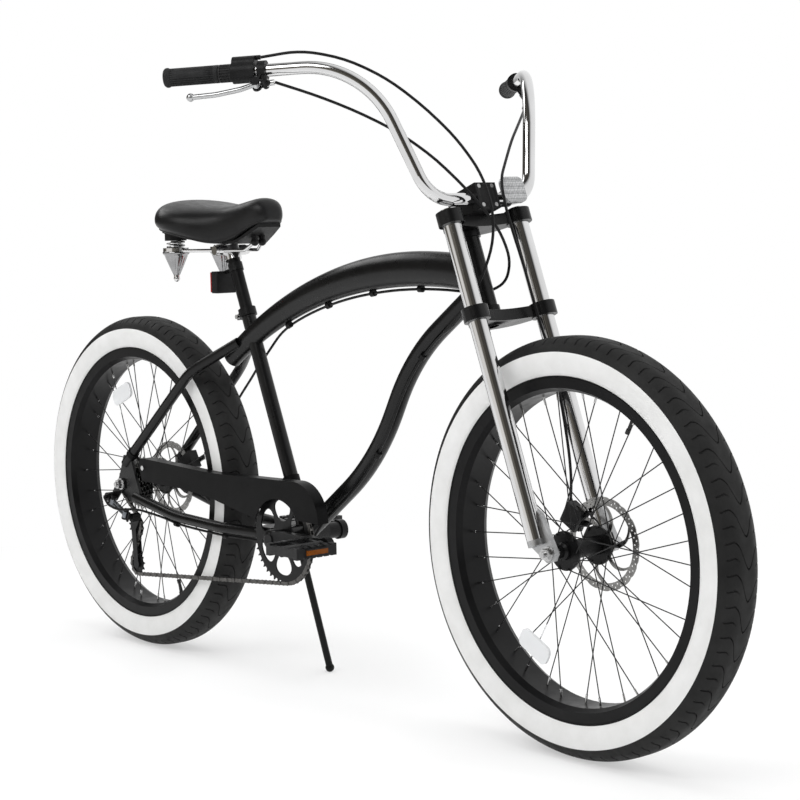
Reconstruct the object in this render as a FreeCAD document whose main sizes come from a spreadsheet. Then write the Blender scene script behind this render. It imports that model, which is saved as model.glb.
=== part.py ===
import FreeCAD, Part
import math
import os
import Sketcher
from FreeCAD import Placement, Rotation, Vector

# Beach cruiser bicycle. Millimetres; +X forward, +Y to the rider's left, +Z up.
# The origin lies on the floor, midway between the axles, in the middle plane.

SIZES = {
    # wheels
    "wheel_base": 1278.0,
    "tyre_radius": 352.0,
    "tyre_width": 90.0,
    "tyre_flat": 32.0,
    "tyre_wall": 5.0,
    "rim_edge_radius": 286.0,
    "rim_floor_radius": 262.0,
    "rim_width": 74.0,
    "rim_wall": 3.0,
    "spoke_count": 36,
    "spoke_radius": 1.0,
    "flange_radius": 33.0,
    "flange_thickness": 3.5,
    "axle_radius": 5.0,
    "axle_gap": 0.05,
    "hub_spacing": 135.0,
    "disc_radius": 80.0,
    "disc_band": 14.0,
    "disc_thickness": 1.8,
    "disc_side": 53.0,
    # steering
    "head_angle": 20.3,
    "head_tube_length": 126.0,
    "head_tube_radius": 18.0,
    "steerer_radius": 14.3,
    "headset_height": 10.0,
    "fork_length": 443.0,
    "fork_offset": 67.0,
    "leg_offset": 50.0,
    "leg_spacing": 158.0,
    "leg_radius": 15.9,
    "leg_wall": 2.5,
    "crown_thickness": 20.0,
    "lug_radius": 23.0,
    "stem_reach": 52.0,
    "stem_rise": 55.0,
    "stem_half_width": 24.0,
    "bar_radius": 11.1,
    "bar_wall": 2.0,
    "bar_middle_half": 115.0,
    "bar_corner_half": 192.0,
    "bar_corner_ahead": 13.0,
    "bar_corner_up": 240.0,
    "bar_tip_half": 402.0,
    "bar_tip_back": 251.0,
    "bar_tip_up": 324.0,
    "bar_low_bend": 60.0,
    "bar_top_bend": 160.0,
    "grip_radius": 15.5,
    "left_grip_length": 130.0,
    "right_grip_length": 94.0,
    "lever_drop": 50.0,
    # frame
    "bottom_bracket_ahead": 537.0,
    "bottom_bracket_drop": 58.0,
    "shell_radius": 20.0,
    "shell_half": 42.0,
    "seat_angle": 21.9,
    "seat_tube_length": 468.0,
    "seat_tube_radius": 14.3,
    "seat_post_radius": 12.7,
    "top_tube_joint": 410.0,
    "top_tube_tail": 88.0,
    "top_tube_bow": 70.0,
    "top_tube_height": 63.0,
    "top_tube_tail_height": 40.0,
    "top_tube_width": 50.0,
    "frame_wall": 2.0,
    "down_tube_radius": 17.5,
    "chain_stay_radius": 11.0,
    "seat_stay_radius": 10.5,
    "stay_half": 63.0,
    "dropout_thickness": 6.0,
    # drive
    "chain_pitch": 12.7,
    "ring_teeth": 44,
    "sprocket_teeth": 16,
    "pulley_teeth": 11,
    "chain_side": 56.0,
    "ring_thickness": 3.0,
    "crank_length": 170.0,
    "crank_angle": 3.0,
    "crank_side": 76.0,
    "crank_thickness": 14.0,
    "pedal_length": 92.0,
    "pedal_depth": 92.0,
    "guard_side": 69.0,
    "guard_sheet": 2.0,
    "guard_flange": 25.0,
    "guard_window_radius": 76.0,
    # seat
    "saddle_length": 300.0,
    "saddle_width": 250.0,
    "saddle_rise": 183.0,
    "rail_radius": 3.5,
    "spring_radius": 17.0,
    "spring_wire": 2.0,
    "spring_turns": 3.5,
    # cables
    "cable_radius": 2.5,
}

doc = FreeCAD.newDocument("beach_cruiser")
sheet = doc.addObject("Spreadsheet::Sheet", "sizes")
for row, (alias, value) in enumerate(SIZES.items(), start=1):
    sheet.set("A%d" % row, alias)
    sheet.set("B%d" % row, str(value))
    sheet.setAlias("B%d" % row, alias)
doc.recompute()


class Size:
    """A number of the sheet, or one worked out from it, with its expression."""

    def __init__(self, value, text):
        self.value = float(value)
        self.text = text

    def __float__(self):
        return self.value

    def join(self, mark, other, swap):
        other_text = other.text if isinstance(other, Size) else repr(float(other))
        first, last = (other_text, self.text) if swap else (self.text, other_text)
        a, b = (float(other), self.value) if swap else (self.value, float(other))
        if mark == "+":
            result = a + b
        elif mark == "-":
            result = a - b
        elif mark == "*":
            result = a * b
        else:
            result = a / b
        return Size(result, "(%s %s %s)" % (first, mark, last))

    def __add__(self, other):
        return self.join("+", other, False)

    def __radd__(self, other):
        return self.join("+", other, True)

    def __sub__(self, other):
        return self.join("-", other, False)

    def __rsub__(self, other):
        return self.join("-", other, True)

    def __mul__(self, other):
        return self.join("*", other, False)

    def __rmul__(self, other):
        return self.join("*", other, True)

    def __truediv__(self, other):
        return self.join("/", other, False)

    def __neg__(self):
        return self.join("*", -1.0, True)


class Sheet:
    """Gives each cell of the sheet by its alias."""

    def __getattr__(self, alias):
        return Size(sheet.get(alias), "sizes." + alias)


dim = Sheet()
nodes = []
SIDES = (-1, 1)
Y_AXIS = Vector(0, 1, 0)
Z_AXIS = Vector(0, 0, 1)


# Helpers for points, solids and document objects

def at(x, y, z):
    return Vector(float(x), float(y), float(z))


def unit(vector):
    return Vector(vector).normalize()


def along(start, direction):
    return Placement(start, Rotation(Z_AXIS, direction))


def rod(start, end, radius):
    return Part.makeCylinder(float(radius), (end - start).Length, start, end - start)


def disc(centre, axis, radius, low, high):
    """A cylinder about the axis through centre, from low to high along it."""
    axis = unit(axis)
    return rod(centre + axis * float(low), centre + axis * float(high), radius)


def ring(centre, axis, outer, inner, low, high):
    hole = disc(centre, axis, inner, float(low) - 1, float(high) + 1)
    return disc(centre, axis, outer, low, high).cut(hole)


def block(low, high):
    size = high - low
    return Part.makeBox(size.x, size.y, size.z, low)


def fused(shapes):
    return shapes[0].multiFuse(shapes[1:]).removeSplitter()


def prism(points, direction):
    """A flat outline of straight edges, pushed along direction."""
    wire = Part.makePolygon(list(points) + [points[0]])
    return Part.Face(wire).extrude(direction)


def bent_wire(points, bends):
    """Straight runs between the points, with a tangent arc at each inner one."""
    edges = []
    last = points[0]
    for before, corner, after, bend in zip(points, points[1:], points[2:], bends):
        back = unit(before - corner)
        ahead = unit(after - corner)
        half = back.getAngle(ahead) / 2
        reach = float(bend) / math.tan(half)
        centre = corner + unit(back + ahead) * (float(bend) / math.sin(half))
        first = corner + back * reach
        final = corner + ahead * reach
        middle = centre + unit(corner - centre) * float(bend)
        edges.append(Part.LineSegment(last, first).toShape())
        edges.append(Part.Arc(first, middle, final).toShape())
        last = final
    edges.append(Part.LineSegment(last, points[-1]).toShape())
    return Part.Wire(edges)


def swept(wire, radius):
    start = wire.OrderedVertexes[0].Point
    first = wire.OrderedEdges[0]
    direction = first.tangentAt(first.FirstParameter)
    if (first.valueAt(first.FirstParameter) - start).Length > 1e-6:
        direction = first.tangentAt(first.LastParameter) * -1
    circle = Part.Wire(Part.makeCircle(float(radius), start, direction))
    return wire.makePipeShell([circle], True, False)


def feature(label, shape, place=Placement()):
    """A sub-part whose shape is worked out here from the sheet's sizes."""
    item = doc.addObject("Part::Feature", label)
    item.Label = label
    item.Shape = shape
    item.Placement = place
    nodes.append(item)
    return item


def origin_plane(body, role):
    return [plane for plane in body.Origin.OriginFeatures if plane.Role == role][0]


def hold(sketch, kind, line, value, axis):
    """Fixes one coordinate of a line's start, bound to its cell."""
    if float(value) == 0:
        sketch.addConstraint(Sketcher.Constraint("PointOnObject", line, 1, axis))
        return
    index = sketch.addConstraint(Sketcher.Constraint(kind, -1, 1, line, 1, float(value)))
    if isinstance(value, Size):
        sketch.setExpression("Constraints[%d]" % index, value.text)


def outline(sketch, points):
    """A closed outline of straight lines, each corner held by two distances."""
    count = len(points)
    for index, (start, end) in enumerate(zip(points, points[1:] + points[:1])):
        line = Part.LineSegment(at(start[0], start[1], 0), at(end[0], end[1], 0))
        sketch.addGeometry(line, False)
    for index in range(count):
        follower = (index + 1) % count
        sketch.addConstraint(Sketcher.Constraint("Coincident", index, 2, follower, 1))
    for index, (across, up) in enumerate(points):
        hold(sketch, "DistanceX", index, across, -2)
        hold(sketch, "DistanceY", index, up, -1)


def sketch_on(body, role):
    sketch = body.newObject("Sketcher::SketchObject", body.Name + "_sketch")
    sketch.AttachmentSupport = (origin_plane(body, role), [""])
    sketch.MapMode = "FlatFace"
    return sketch


def turned(label, profile, place):
    """A sub-part turned about its own Z axis from a profile of radius and height."""
    body = doc.addObject("PartDesign::Body", label)
    body.Label = label
    sketch = sketch_on(body, "XZ_Plane")
    outline(sketch, profile)
    turn = body.newObject("PartDesign::Revolution", label + "_turn")
    turn.Profile = sketch
    turn.ReferenceAxis = (sketch, ["V_Axis"])
    turn.Angle = 360
    body.Placement = place
    nodes.append(body)
    return body


def padded(label, profile, thickness, place):
    """A flat sub-part, padded along its own Z axis."""
    body = doc.addObject("PartDesign::Body", label)
    body.Label = label
    sketch = sketch_on(body, "XY_Plane")
    outline(sketch, profile)
    pad = body.newObject("PartDesign::Pad", label + "_pad")
    pad.Profile = sketch
    pad.Length = float(thickness)
    pad.setExpression("Length", thickness.text)
    body.Placement = place
    nodes.append(body)
    return body


# Places that the whole bicycle is laid out from

front_axle = at(dim.wheel_base / 2, 0, dim.tyre_radius)
rear_axle = at(dim.wheel_base / -2, 0, dim.tyre_radius)

head_lean = math.radians(float(dim.head_angle))
HEAD_UP = Vector(-math.sin(head_lean), 0, math.cos(head_lean))
HEAD_AHEAD = Vector(math.cos(head_lean), 0, math.sin(head_lean))
head_base = front_axle - HEAD_AHEAD * float(dim.fork_offset) + HEAD_UP * float(dim.fork_length)
# In the steering's own frame X points ahead, Y left and Z up the head tube
steer_frame = Placement(head_base, Rotation(HEAD_AHEAD, Y_AXIS, HEAD_UP, "ZXY"))

bottom_bracket = rear_axle + at(dim.bottom_bracket_ahead, 0, -dim.bottom_bracket_drop)
seat_lean = math.radians(float(dim.seat_angle))
SEAT_UP = Vector(-math.sin(seat_lean), 0, math.cos(seat_lean))
SEAT_AHEAD = Vector(math.cos(seat_lean), 0, math.sin(seat_lean))
seat_tube_top = bottom_bracket + SEAT_UP * float(dim.seat_tube_length)


# Head tube and the headset cups pressed into its ends

head_bore = dim.steerer_radius + 1.0
turned("head_tube", [
    (head_bore, 0.0),
    (dim.head_tube_radius, 0.0),
    (dim.head_tube_radius, dim.head_tube_length),
    (head_bore, dim.head_tube_length),
], along(head_base, HEAD_UP))

cup_radius = dim.head_tube_radius + 3.0
cup_bore = dim.steerer_radius + 0.05
head_top = float(dim.head_tube_length)
cup_height = float(dim.headset_height)
lower_cup = ring(Vector(), Z_AXIS, cup_radius, cup_bore, -cup_height, 0)
upper_cup = ring(Vector(), Z_AXIS, cup_radius, cup_bore, head_top, head_top + cup_height)
headset_cups = Part.makeCompound([lower_cup, upper_cup])
headset_cups.Placement = steer_frame

head_core = disc(head_base, HEAD_UP, dim.head_tube_radius, -20, head_top + 20)
head_line = disc(head_base, HEAD_UP, dim.head_tube_radius, 0, head_top)


# Bottom bracket shell across the frame, with a bearing cup screwed into each end

shell_bore = dim.shell_radius - 2.5
turned("bottom_bracket_shell", [
    (shell_bore, -dim.shell_half),
    (dim.shell_radius, -dim.shell_half),
    (dim.shell_radius, dim.shell_half),
    (shell_bore, dim.shell_half),
], along(bottom_bracket, Y_AXIS))
shell_core = disc(bottom_bracket, Y_AXIS, dim.shell_radius, -dim.shell_half, dim.shell_half)

spindle_radius = 8.5
cup_depth = 14.0
lip = 3.0
cups = []
for side in SIDES:
    end = float(dim.shell_half)
    inner = disc(bottom_bracket, Y_AXIS * side, shell_bore, end - cup_depth, end)
    flange = disc(bottom_bracket, Y_AXIS * side, dim.shell_radius, end, end + lip)
    bore = disc(bottom_bracket, Y_AXIS * side, spindle_radius + 0.05, 0, end + lip + 1)
    cups.append(inner.fuse(flange).cut(bore))
feature("bearing_cups", Part.makeCompound(headset_cups.Solids + cups))


# Seat tube, welded to the shell and passing through the top tube

seat_tube_bore = float(dim.seat_post_radius) + 0.05
seat_core = rod(bottom_bracket, seat_tube_top, dim.seat_tube_radius)
seat_tube_solid = seat_core.cut(rod(bottom_bracket, seat_tube_top + SEAT_UP, seat_tube_bore))
feature("seat_tube", seat_tube_solid.cut(shell_core))


# Top tube: one long bow of oval section, thinner to the rear, with a closed tail

tail_lean = math.radians(32.0)
top_front = head_base + HEAD_UP * (0.48 * head_top)
top_joint = bottom_bracket + SEAT_UP * float(dim.top_tube_joint)
tail_way = Vector(-math.cos(tail_lean), 0, -math.sin(tail_lean))
top_rear = top_joint + tail_way * float(dim.top_tube_tail)
top_chord = top_rear - top_front
top_normal = unit(top_chord.cross(Y_AXIS))
if top_normal.z < 0:
    top_normal = top_normal * -1
top_middle = top_front + top_chord * 0.5 + top_normal * float(dim.top_tube_bow)
top_arc = Part.Arc(top_front, top_middle, top_rear).toShape()


def top_station(share):
    """Point, way back and outward normal of the top tube's bow."""
    place = top_arc.FirstParameter
    place += share * (top_arc.LastParameter - top_arc.FirstParameter)
    point = top_arc.valueAt(place)
    way = unit(top_arc.tangentAt(place))
    if way.x > 0:
        way = way * -1
    normal = unit(way.cross(Y_AXIS))
    if normal.z < 0:
        normal = normal * -1
    return point, way, normal


def top_height(share):
    taper = max(0.0, share - 0.35) / 0.65
    return float(dim.top_tube_height) + taper * float(dim.top_tube_tail_height - dim.top_tube_height)


def top_width(share):
    swell = math.sin(math.pi * min(1.0, 0.18 + share))
    narrow = 2 * float(dim.head_tube_radius) + 1.0
    return narrow + swell * (float(dim.top_tube_width) - narrow)


def top_loft(shrink, last_share):
    rings = []
    for step in range(8):
        share = last_share * step / 7
        point, way, normal = top_station(share)
        tall = top_height(share) / 2 - shrink
        wide = top_width(share) / 2 - shrink
        oval = Part.Ellipse(point + normal * tall, point + Y_AXIS * wide, point)
        rings.append(Part.Wire(oval.toShape()))
    return Part.makeLoft(rings, True, False)


top_core = top_loft(0.0, 1.0)
top_tube = top_core.cut(top_loft(float(dim.frame_wall), 0.993)).cut(head_core).cut(seat_core)
feature("top_tube", max(top_tube.Solids, key=lambda solid: solid.Volume))


# Down tube: bent forward under the head, then back to the bottom bracket

down_head = head_base + HEAD_UP * (0.31 * head_top)
down_upper = bottom_bracket + Vector(328, 0, 358)
down_lower = bottom_bracket + Vector(221, 0, 162)
down_wire = bent_wire([down_head, down_upper, down_lower, bottom_bracket], [390, 470])
down_core = swept(down_wire, dim.down_tube_radius)
down_tube = down_core.cut(swept(down_wire, dim.down_tube_radius - dim.frame_wall))
for core in (head_core, shell_core, seat_core, top_core):
    down_tube = down_tube.cut(core)
feature("down_tube", max(down_tube.Solids, key=lambda solid: solid.Volume))


# Chain stays and seat stays, one of each on either side of the rear wheel

dropout_side = float(dim.hub_spacing) / 2 + float(dim.dropout_thickness) / 2
chain_stay_wires = {}
seat_stay_wires = {}
for side in SIDES:
    chain_stay_wires[side] = bent_wire([
        bottom_bracket + Vector(-8, side * 31, 0),
        bottom_bracket + Vector(-85, side * 36, -4),
        bottom_bracket + at(-195, side * (float(dim.stay_half) - 2), -1),
        rear_axle + at(190, side * (float(dim.stay_half) + 3), -52),
        rear_axle + Vector(46, side * dropout_side, -24),
    ], [110, 150, 400])
    seat_stay_wires[side] = bent_wire([
        top_joint + Vector(-30, side * 16, -13),
        top_joint + at(-134, side * float(dim.stay_half), -73),
        rear_axle + Vector(12, side * dropout_side, 44),
    ], [140])


def stays(wires, radius, cutters):
    pieces = []
    for side in SIDES:
        piece = swept(wires[side], radius).cut(swept(wires[side], radius - dim.frame_wall))
        for cutter in cutters:
            piece = piece.cut(cutter)
        pieces.append(max(piece.Solids, key=lambda solid: solid.Volume))
    return pieces


chain_stay_core = [swept(chain_stay_wires[side], dim.chain_stay_radius) for side in SIDES]
seat_stay_core = [swept(seat_stay_wires[side], dim.seat_stay_radius) for side in SIDES]
shell_clear = [disc(bottom_bracket, Y_AXIS * side, dim.shell_radius + 0.3, dim.shell_half, 70) for side in SIDES]
rear_stays = stays(chain_stay_wires, dim.chain_stay_radius, [shell_core, seat_core] + shell_clear)
rear_stays += stays(seat_stay_wires, dim.seat_stay_radius, [top_core, seat_core])


# Rear dropouts: flat plates that join the stays and hold the axle

dropout_outline = [(-16, -6), (-8, -17), (24, -32), (62, -38), (64, -12), (48, 24), (34, 58), (8, 62), (-8, 22), (-16, 6)]
dropouts = []
for side in SIDES:
    inner = side * float(dim.hub_spacing) / 2
    corners = [rear_axle + Vector(x, inner, z) for x, z in dropout_outline]
    plate = prism(corners, Y_AXIS * (side * float(dim.dropout_thickness)))
    plate = plate.cut(disc(rear_axle, Y_AXIS, dim.axle_radius, -200, 200))
    for core in chain_stay_core + seat_stay_core:
        plate = plate.cut(core)
    dropouts.append(max(plate.Solids, key=lambda solid: solid.Volume))
feature("rear_stays", Part.makeCompound(rear_stays + dropouts))


# Fork: steerer tube, two crowns, two legs and the dropouts welded to them.
# All of it is worked out in the steering's own frame.

leg_half = dim.leg_spacing / 2
race_height = 4.0
running_gap = 0.3
lower_crown_top = -(cup_height + running_gap + race_height)
lower_crown_low = lower_crown_top - float(dim.crown_thickness)
upper_crown_low = head_top + cup_height + running_gap
upper_crown_top = upper_crown_low + float(dim.crown_thickness)
steerer_top = upper_crown_top + 40.0
fork_length = float(dim.fork_length)
leg_bottom = -fork_length + 28.0
leg_top = upper_crown_top + 5.0
leg_axes = [at(dim.leg_offset, side * leg_half, 0) for side in SIDES]

steerer = ring(Vector(), Z_AXIS, dim.steerer_radius, dim.steerer_radius - 2.8, lower_crown_low, steerer_top)


def crown(low, high):
    """A plate with a boss round the steerer and a lug round each leg."""
    ahead = float(dim.leg_offset)
    half = float(leg_half)
    boss = float(dim.steerer_radius) + 9.0
    front = Part.Arc(at(ahead + 8, -half, low), at(ahead - 14, 0, low), at(ahead + 8, half, low))
    rear = Part.Arc(at(ahead - 16, half, low), at(-boss + 4, 0, low), at(ahead - 16, -half, low))
    edges = [
        front.toShape(),
        Part.LineSegment(at(ahead + 8, half, low), at(ahead - 16, half, low)).toShape(),
        rear.toShape(),
        Part.LineSegment(at(ahead - 16, -half, low), at(ahead + 8, -half, low)).toShape(),
    ]
    bridge = Part.Face(Part.Wire(edges)).extrude(Vector(0, 0, high - low))
    shapes = [bridge, disc(Vector(), Z_AXIS, boss, low, high)]
    shapes += [disc(axis, Z_AXIS, dim.lug_radius, low - 2, high + 2) for axis in leg_axes]
    solid = fused(shapes)
    for axis in leg_axes:
        solid = solid.cut(disc(axis, Z_AXIS, dim.leg_radius, low - 9, high + 9))
    return solid.cut(disc(Vector(), Z_AXIS, dim.steerer_radius, low - 9, high + 9))


race = ring(Vector(), Z_AXIS, cup_radius - 1.0, dim.steerer_radius, lower_crown_top, lower_crown_top + race_height)
lower_crown = crown(lower_crown_low, lower_crown_top).fuse(race).removeSplitter()
upper_crown = crown(upper_crown_low, upper_crown_top)
feature("fork_crowns", Part.makeCompound([upper_crown, lower_crown, steerer]), steer_frame)

legs = []
for axis in leg_axes:
    tube = disc(axis, Z_AXIS, dim.leg_radius, leg_bottom, leg_top)
    cap_height = 6.0
    tube = tube.cut(disc(axis, Z_AXIS, dim.leg_radius - dim.leg_wall, leg_bottom - 1, leg_top - cap_height))
    legs.append(tube)
feature("fork_legs", Part.makeCompound(legs), steer_frame)

fork_axle = at(dim.fork_offset, 0, -fork_length)
fork_plate = 10.0
fork_inner = float(dim.hub_spacing) / 2
leg_ahead = float(dim.leg_offset)
axle_ahead = float(dim.fork_offset)
fork_outline = [
    (leg_ahead + 8, 82), (leg_ahead + 22, 66), (axle_ahead + 14, 10), (axle_ahead + 15, -6),
    (axle_ahead + 6, -15), (axle_ahead - 8, -14), (leg_ahead - 15.9, 18), (leg_ahead - 15.9, 28), (leg_ahead, 60),
]
fork_ends = []
for side, axis in zip(SIDES, leg_axes):
    corners = [at(f, side * fork_inner, s - fork_length) for f, s in fork_outline]
    plate = prism(corners, Y_AXIS * (side * fork_plate))
    plug = disc(axis, Z_AXIS, dim.leg_radius, leg_bottom - 10, leg_bottom)
    plate = plate.cut(disc(axis, Z_AXIS, dim.leg_radius, leg_bottom, leg_bottom + 200))
    plate = fused([plate, plug]).cut(disc(fork_axle, Y_AXIS, dim.axle_radius, -200, 200))
    fork_ends.append(max(plate.Solids, key=lambda solid: solid.Volume))
feature("fork_dropouts", Part.makeCompound(fork_ends), steer_frame)


# Stem clamped on the steerer, with its faceplate, four bolts and a top cap

bar_centre = at(dim.stem_reach, 0, upper_crown_top - float(dim.crown_thickness) / 2 + float(dim.stem_rise) - 22)
stem_half = float(dim.stem_half_width)
clamp_half = 23.0
face_gap = 0.8
face_depth = 20.0
bar_hole = disc(bar_centre, Y_AXIS, dim.bar_radius, -200, 200)
stem_bolts = []
for side in SIDES:
    for level in SIDES:
        head = bar_centre + Vector(face_depth - 5, side * 15, level * 17)
        bolt = rod(head - Vector(30, 0, 0), head, 3.0).fuse(rod(head, head + Vector(5, 0, 0), 4.6))
        stem_bolts.append(bolt.removeSplitter())
stem_sleeve = disc(Vector(), Z_AXIS, dim.steerer_radius + 6.0, upper_crown_top, steerer_top)
stem_block = block(bar_centre - at(dim.stem_reach - 6.0, stem_half, clamp_half), bar_centre + Vector(0, stem_half, clamp_half))
stem = fused([stem_sleeve, stem_block])
stem = stem.cut(bar_hole).cut(disc(Vector(), Z_AXIS, dim.steerer_radius, 0, steerer_top + 5))
stem = stem.cut(disc(Vector(), Z_AXIS, dim.steerer_radius + 12.0, upper_crown_top - 60, upper_crown_top))
faceplate = block(bar_centre + Vector(face_gap, -stem_half, -clamp_half), bar_centre + Vector(face_depth, stem_half, clamp_half))
faceplate = faceplate.cut(bar_hole)
for bolt in stem_bolts:
    stem = stem.cut(bolt)
    faceplate = faceplate.cut(bolt)
top_cap = disc(Vector(), Z_AXIS, dim.steerer_radius + 4.0, steerer_top, steerer_top + 3)
stem = stem.cut(top_cap)
feature("stem", Part.makeCompound([stem, top_cap, faceplate] + stem_bolts), steer_frame)


# Handlebar: one bent chromed tube

def bar_points(side):
    corner = bar_centre + at(dim.bar_corner_ahead, side * float(dim.bar_corner_half), dim.bar_corner_up)
    tip = bar_centre + at(-dim.bar_tip_back, side * float(dim.bar_tip_half), dim.bar_tip_up)
    return [bar_centre + at(0, side * float(dim.bar_middle_half), 0), corner, tip]


bar_route = list(reversed(bar_points(-1))) + bar_points(1)
bar_bends = [dim.bar_top_bend, dim.bar_low_bend, dim.bar_low_bend, dim.bar_top_bend]
bar_wire = bent_wire(bar_route, bar_bends)
handlebar = swept(bar_wire, dim.bar_radius).cut(swept(bar_wire, dim.bar_radius - dim.bar_wall))
feature("handlebar", handlebar, steer_frame)


class Hand:
    """The straight end of the bar on one side: tip, way inward and lever's way."""

    def __init__(self, side):
        middle, corner, self.tip = bar_points(side)
        self.way = unit(corner - self.tip)
        down = Vector(-math.sin(head_lean), 0, -math.cos(head_lean))
        outward = unit(self.way.cross(down)) * side
        sunk = unit(down - self.way * down.dot(self.way))
        reach = math.radians(50.0)
        self.lever_way = unit(outward * math.cos(reach) + sunk * math.sin(reach))
        self.pin_way = unit(self.way.cross(self.lever_way))

    def point(self, inward, offset=0.0, sideways=0.0):
        place = self.tip + self.way * float(inward) + self.lever_way * float(offset)
        return place + self.pin_way * float(sideways)

    def sleeve(self, outer, inner, low, high):
        return ring(self.tip, self.way, outer, inner, low, high)


right_hand = Hand(-1)
left_hand = Hand(1)
grip_bore = dim.bar_radius
grips = []
for hand, length in ((right_hand, dim.right_grip_length), (left_hand, dim.left_grip_length)):
    grip = hand.sleeve(dim.grip_radius, grip_bore, 0, length)
    flange = hand.sleeve(dim.grip_radius + 1.5, grip_bore, 0, 5)
    end = disc(hand.tip, hand.way, dim.grip_radius + 0.5, -3, 0)
    grips.append(fused([grip, flange, end]))
feature("grips", Part.makeCompound(grips), steer_frame)


# Twist shifter: a rubber sleeve that turns beside the right grip, and its housing

twist_low = float(dim.right_grip_length) + 0.5
twist_high = twist_low + 24.0
twist = right_hand.sleeve(dim.grip_radius, dim.bar_radius + 0.1, twist_low, twist_high)
feature("shifter_twist", twist, steer_frame)
housing_low = twist_high + 0.4
housing_high = housing_low + 40.0
housing = disc(right_hand.tip, right_hand.way, 19.0, housing_low, housing_high)
shell_top = rod(right_hand.point(housing_low, -12, -6), right_hand.point(housing_high, -12, -6), 14.0)
nozzle = rod(right_hand.point(housing_high - 6, -20, -12), right_hand.point(housing_high + 8, -20, -12), 4.0)
housing = fused([housing, shell_top, nozzle]).cut(disc(right_hand.tip, right_hand.way, dim.bar_radius, 0, 300))


# Brake levers: a clamp with two ears on the bar, and a blade that turns on a pin

lever_places = ((right_hand, housing_high + 12.0), (left_hand, float(dim.left_grip_length) + 14.0))
lever_clamps = []
levers = []
pivot_offset = 30.0
for hand, place in lever_places:
    clamp = hand.sleeve(dim.bar_radius + 6.0, dim.bar_radius, place - 7, place + 7)
    pivot = hand.point(place - 8, pivot_offset)
    ears = []
    for level in SIDES:
        ear = disc(pivot, hand.pin_way, 8.0, 5.8 * level, 9.8 * level) if level > 0 else disc(pivot, hand.pin_way, 8.0, -9.8, -5.8)
        strap = rod(hand.point(place, 12, 7.8 * level), hand.point(place - 4, pivot_offset, 7.8 * level), 2.0)
        ears += [ear, strap]
    arm = rod(hand.point(place + 2, 14), hand.point(place + 8, pivot_offset), 7.0)
    nose = rod(hand.point(place + 8, pivot_offset), hand.point(place + 24, pivot_offset - 1), 5.0)
    bridge = rod(hand.point(place + 8, pivot_offset, -9.0), hand.point(place + 8, pivot_offset, 9.0), 5.0)
    yoke = []
    for level in SIDES:
        yoke.append(rod(hand.point(place + 8, pivot_offset, 7.8 * level), hand.point(place - 8, pivot_offset, 7.8 * level), 2.0))
    pin = disc(pivot, hand.pin_way, 2.5, -9.8, 9.8)
    body = fused([clamp, arm, nose, bridge, pin] + ears + yoke)
    body = body.cut(disc(hand.tip, hand.way, dim.bar_radius, place - 30, place + 60))
    lever_clamps.append(body)
    drop = float(dim.lever_drop)
    blade_end = hand.point(place - 118, drop)
    blade_wire = bent_wire([
        pivot, hand.point(place - 34, pivot_offset + 10), hand.point(place - 76, drop - 2), blade_end,
    ], [40, 90])
    blade_way = unit(blade_end - hand.point(place - 76, drop - 2))
    ball = Part.makeSphere(7.0, blade_end + blade_way * 2, blade_way)
    boss = disc(pivot, hand.pin_way, 6.5, -5.5, 5.5)
    blade = fused([swept(blade_wire, 4.5), boss, ball])
    levers.append(blade.cut(disc(pivot, hand.pin_way, 2.55, -20, 20)))
feature("control_clamps", Part.makeCompound([housing] + lever_clamps), steer_frame)
feature("right_brake_lever", levers[0], steer_frame)
feature("left_brake_lever", levers[1], steer_frame)


# Front reflector on a band round the bar, beside the stem

lens_side = 58.0
band = ring(bar_centre, Y_AXIS, dim.bar_radius + 3.0, dim.bar_radius, lens_side - 6, lens_side + 6)
foot = block(bar_centre + Vector(13.5, lens_side - 6, -6), bar_centre + Vector(20, lens_side + 6, 6))
lens = block(bar_centre + Vector(20, lens_side - 26, -16), bar_centre + Vector(28, lens_side + 26, 30))
lens = lens.makeFillet(12.0, [edge for edge in lens.Edges if abs(edge.tangentAt(edge.FirstParameter).x) > 0.9])
feature("front_reflector", Part.makeCompound([fused([band, foot]), lens]), steer_frame)


# Wheels: tyre, rim, spokes, hub, disc and axle, about an axle along Y

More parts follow.
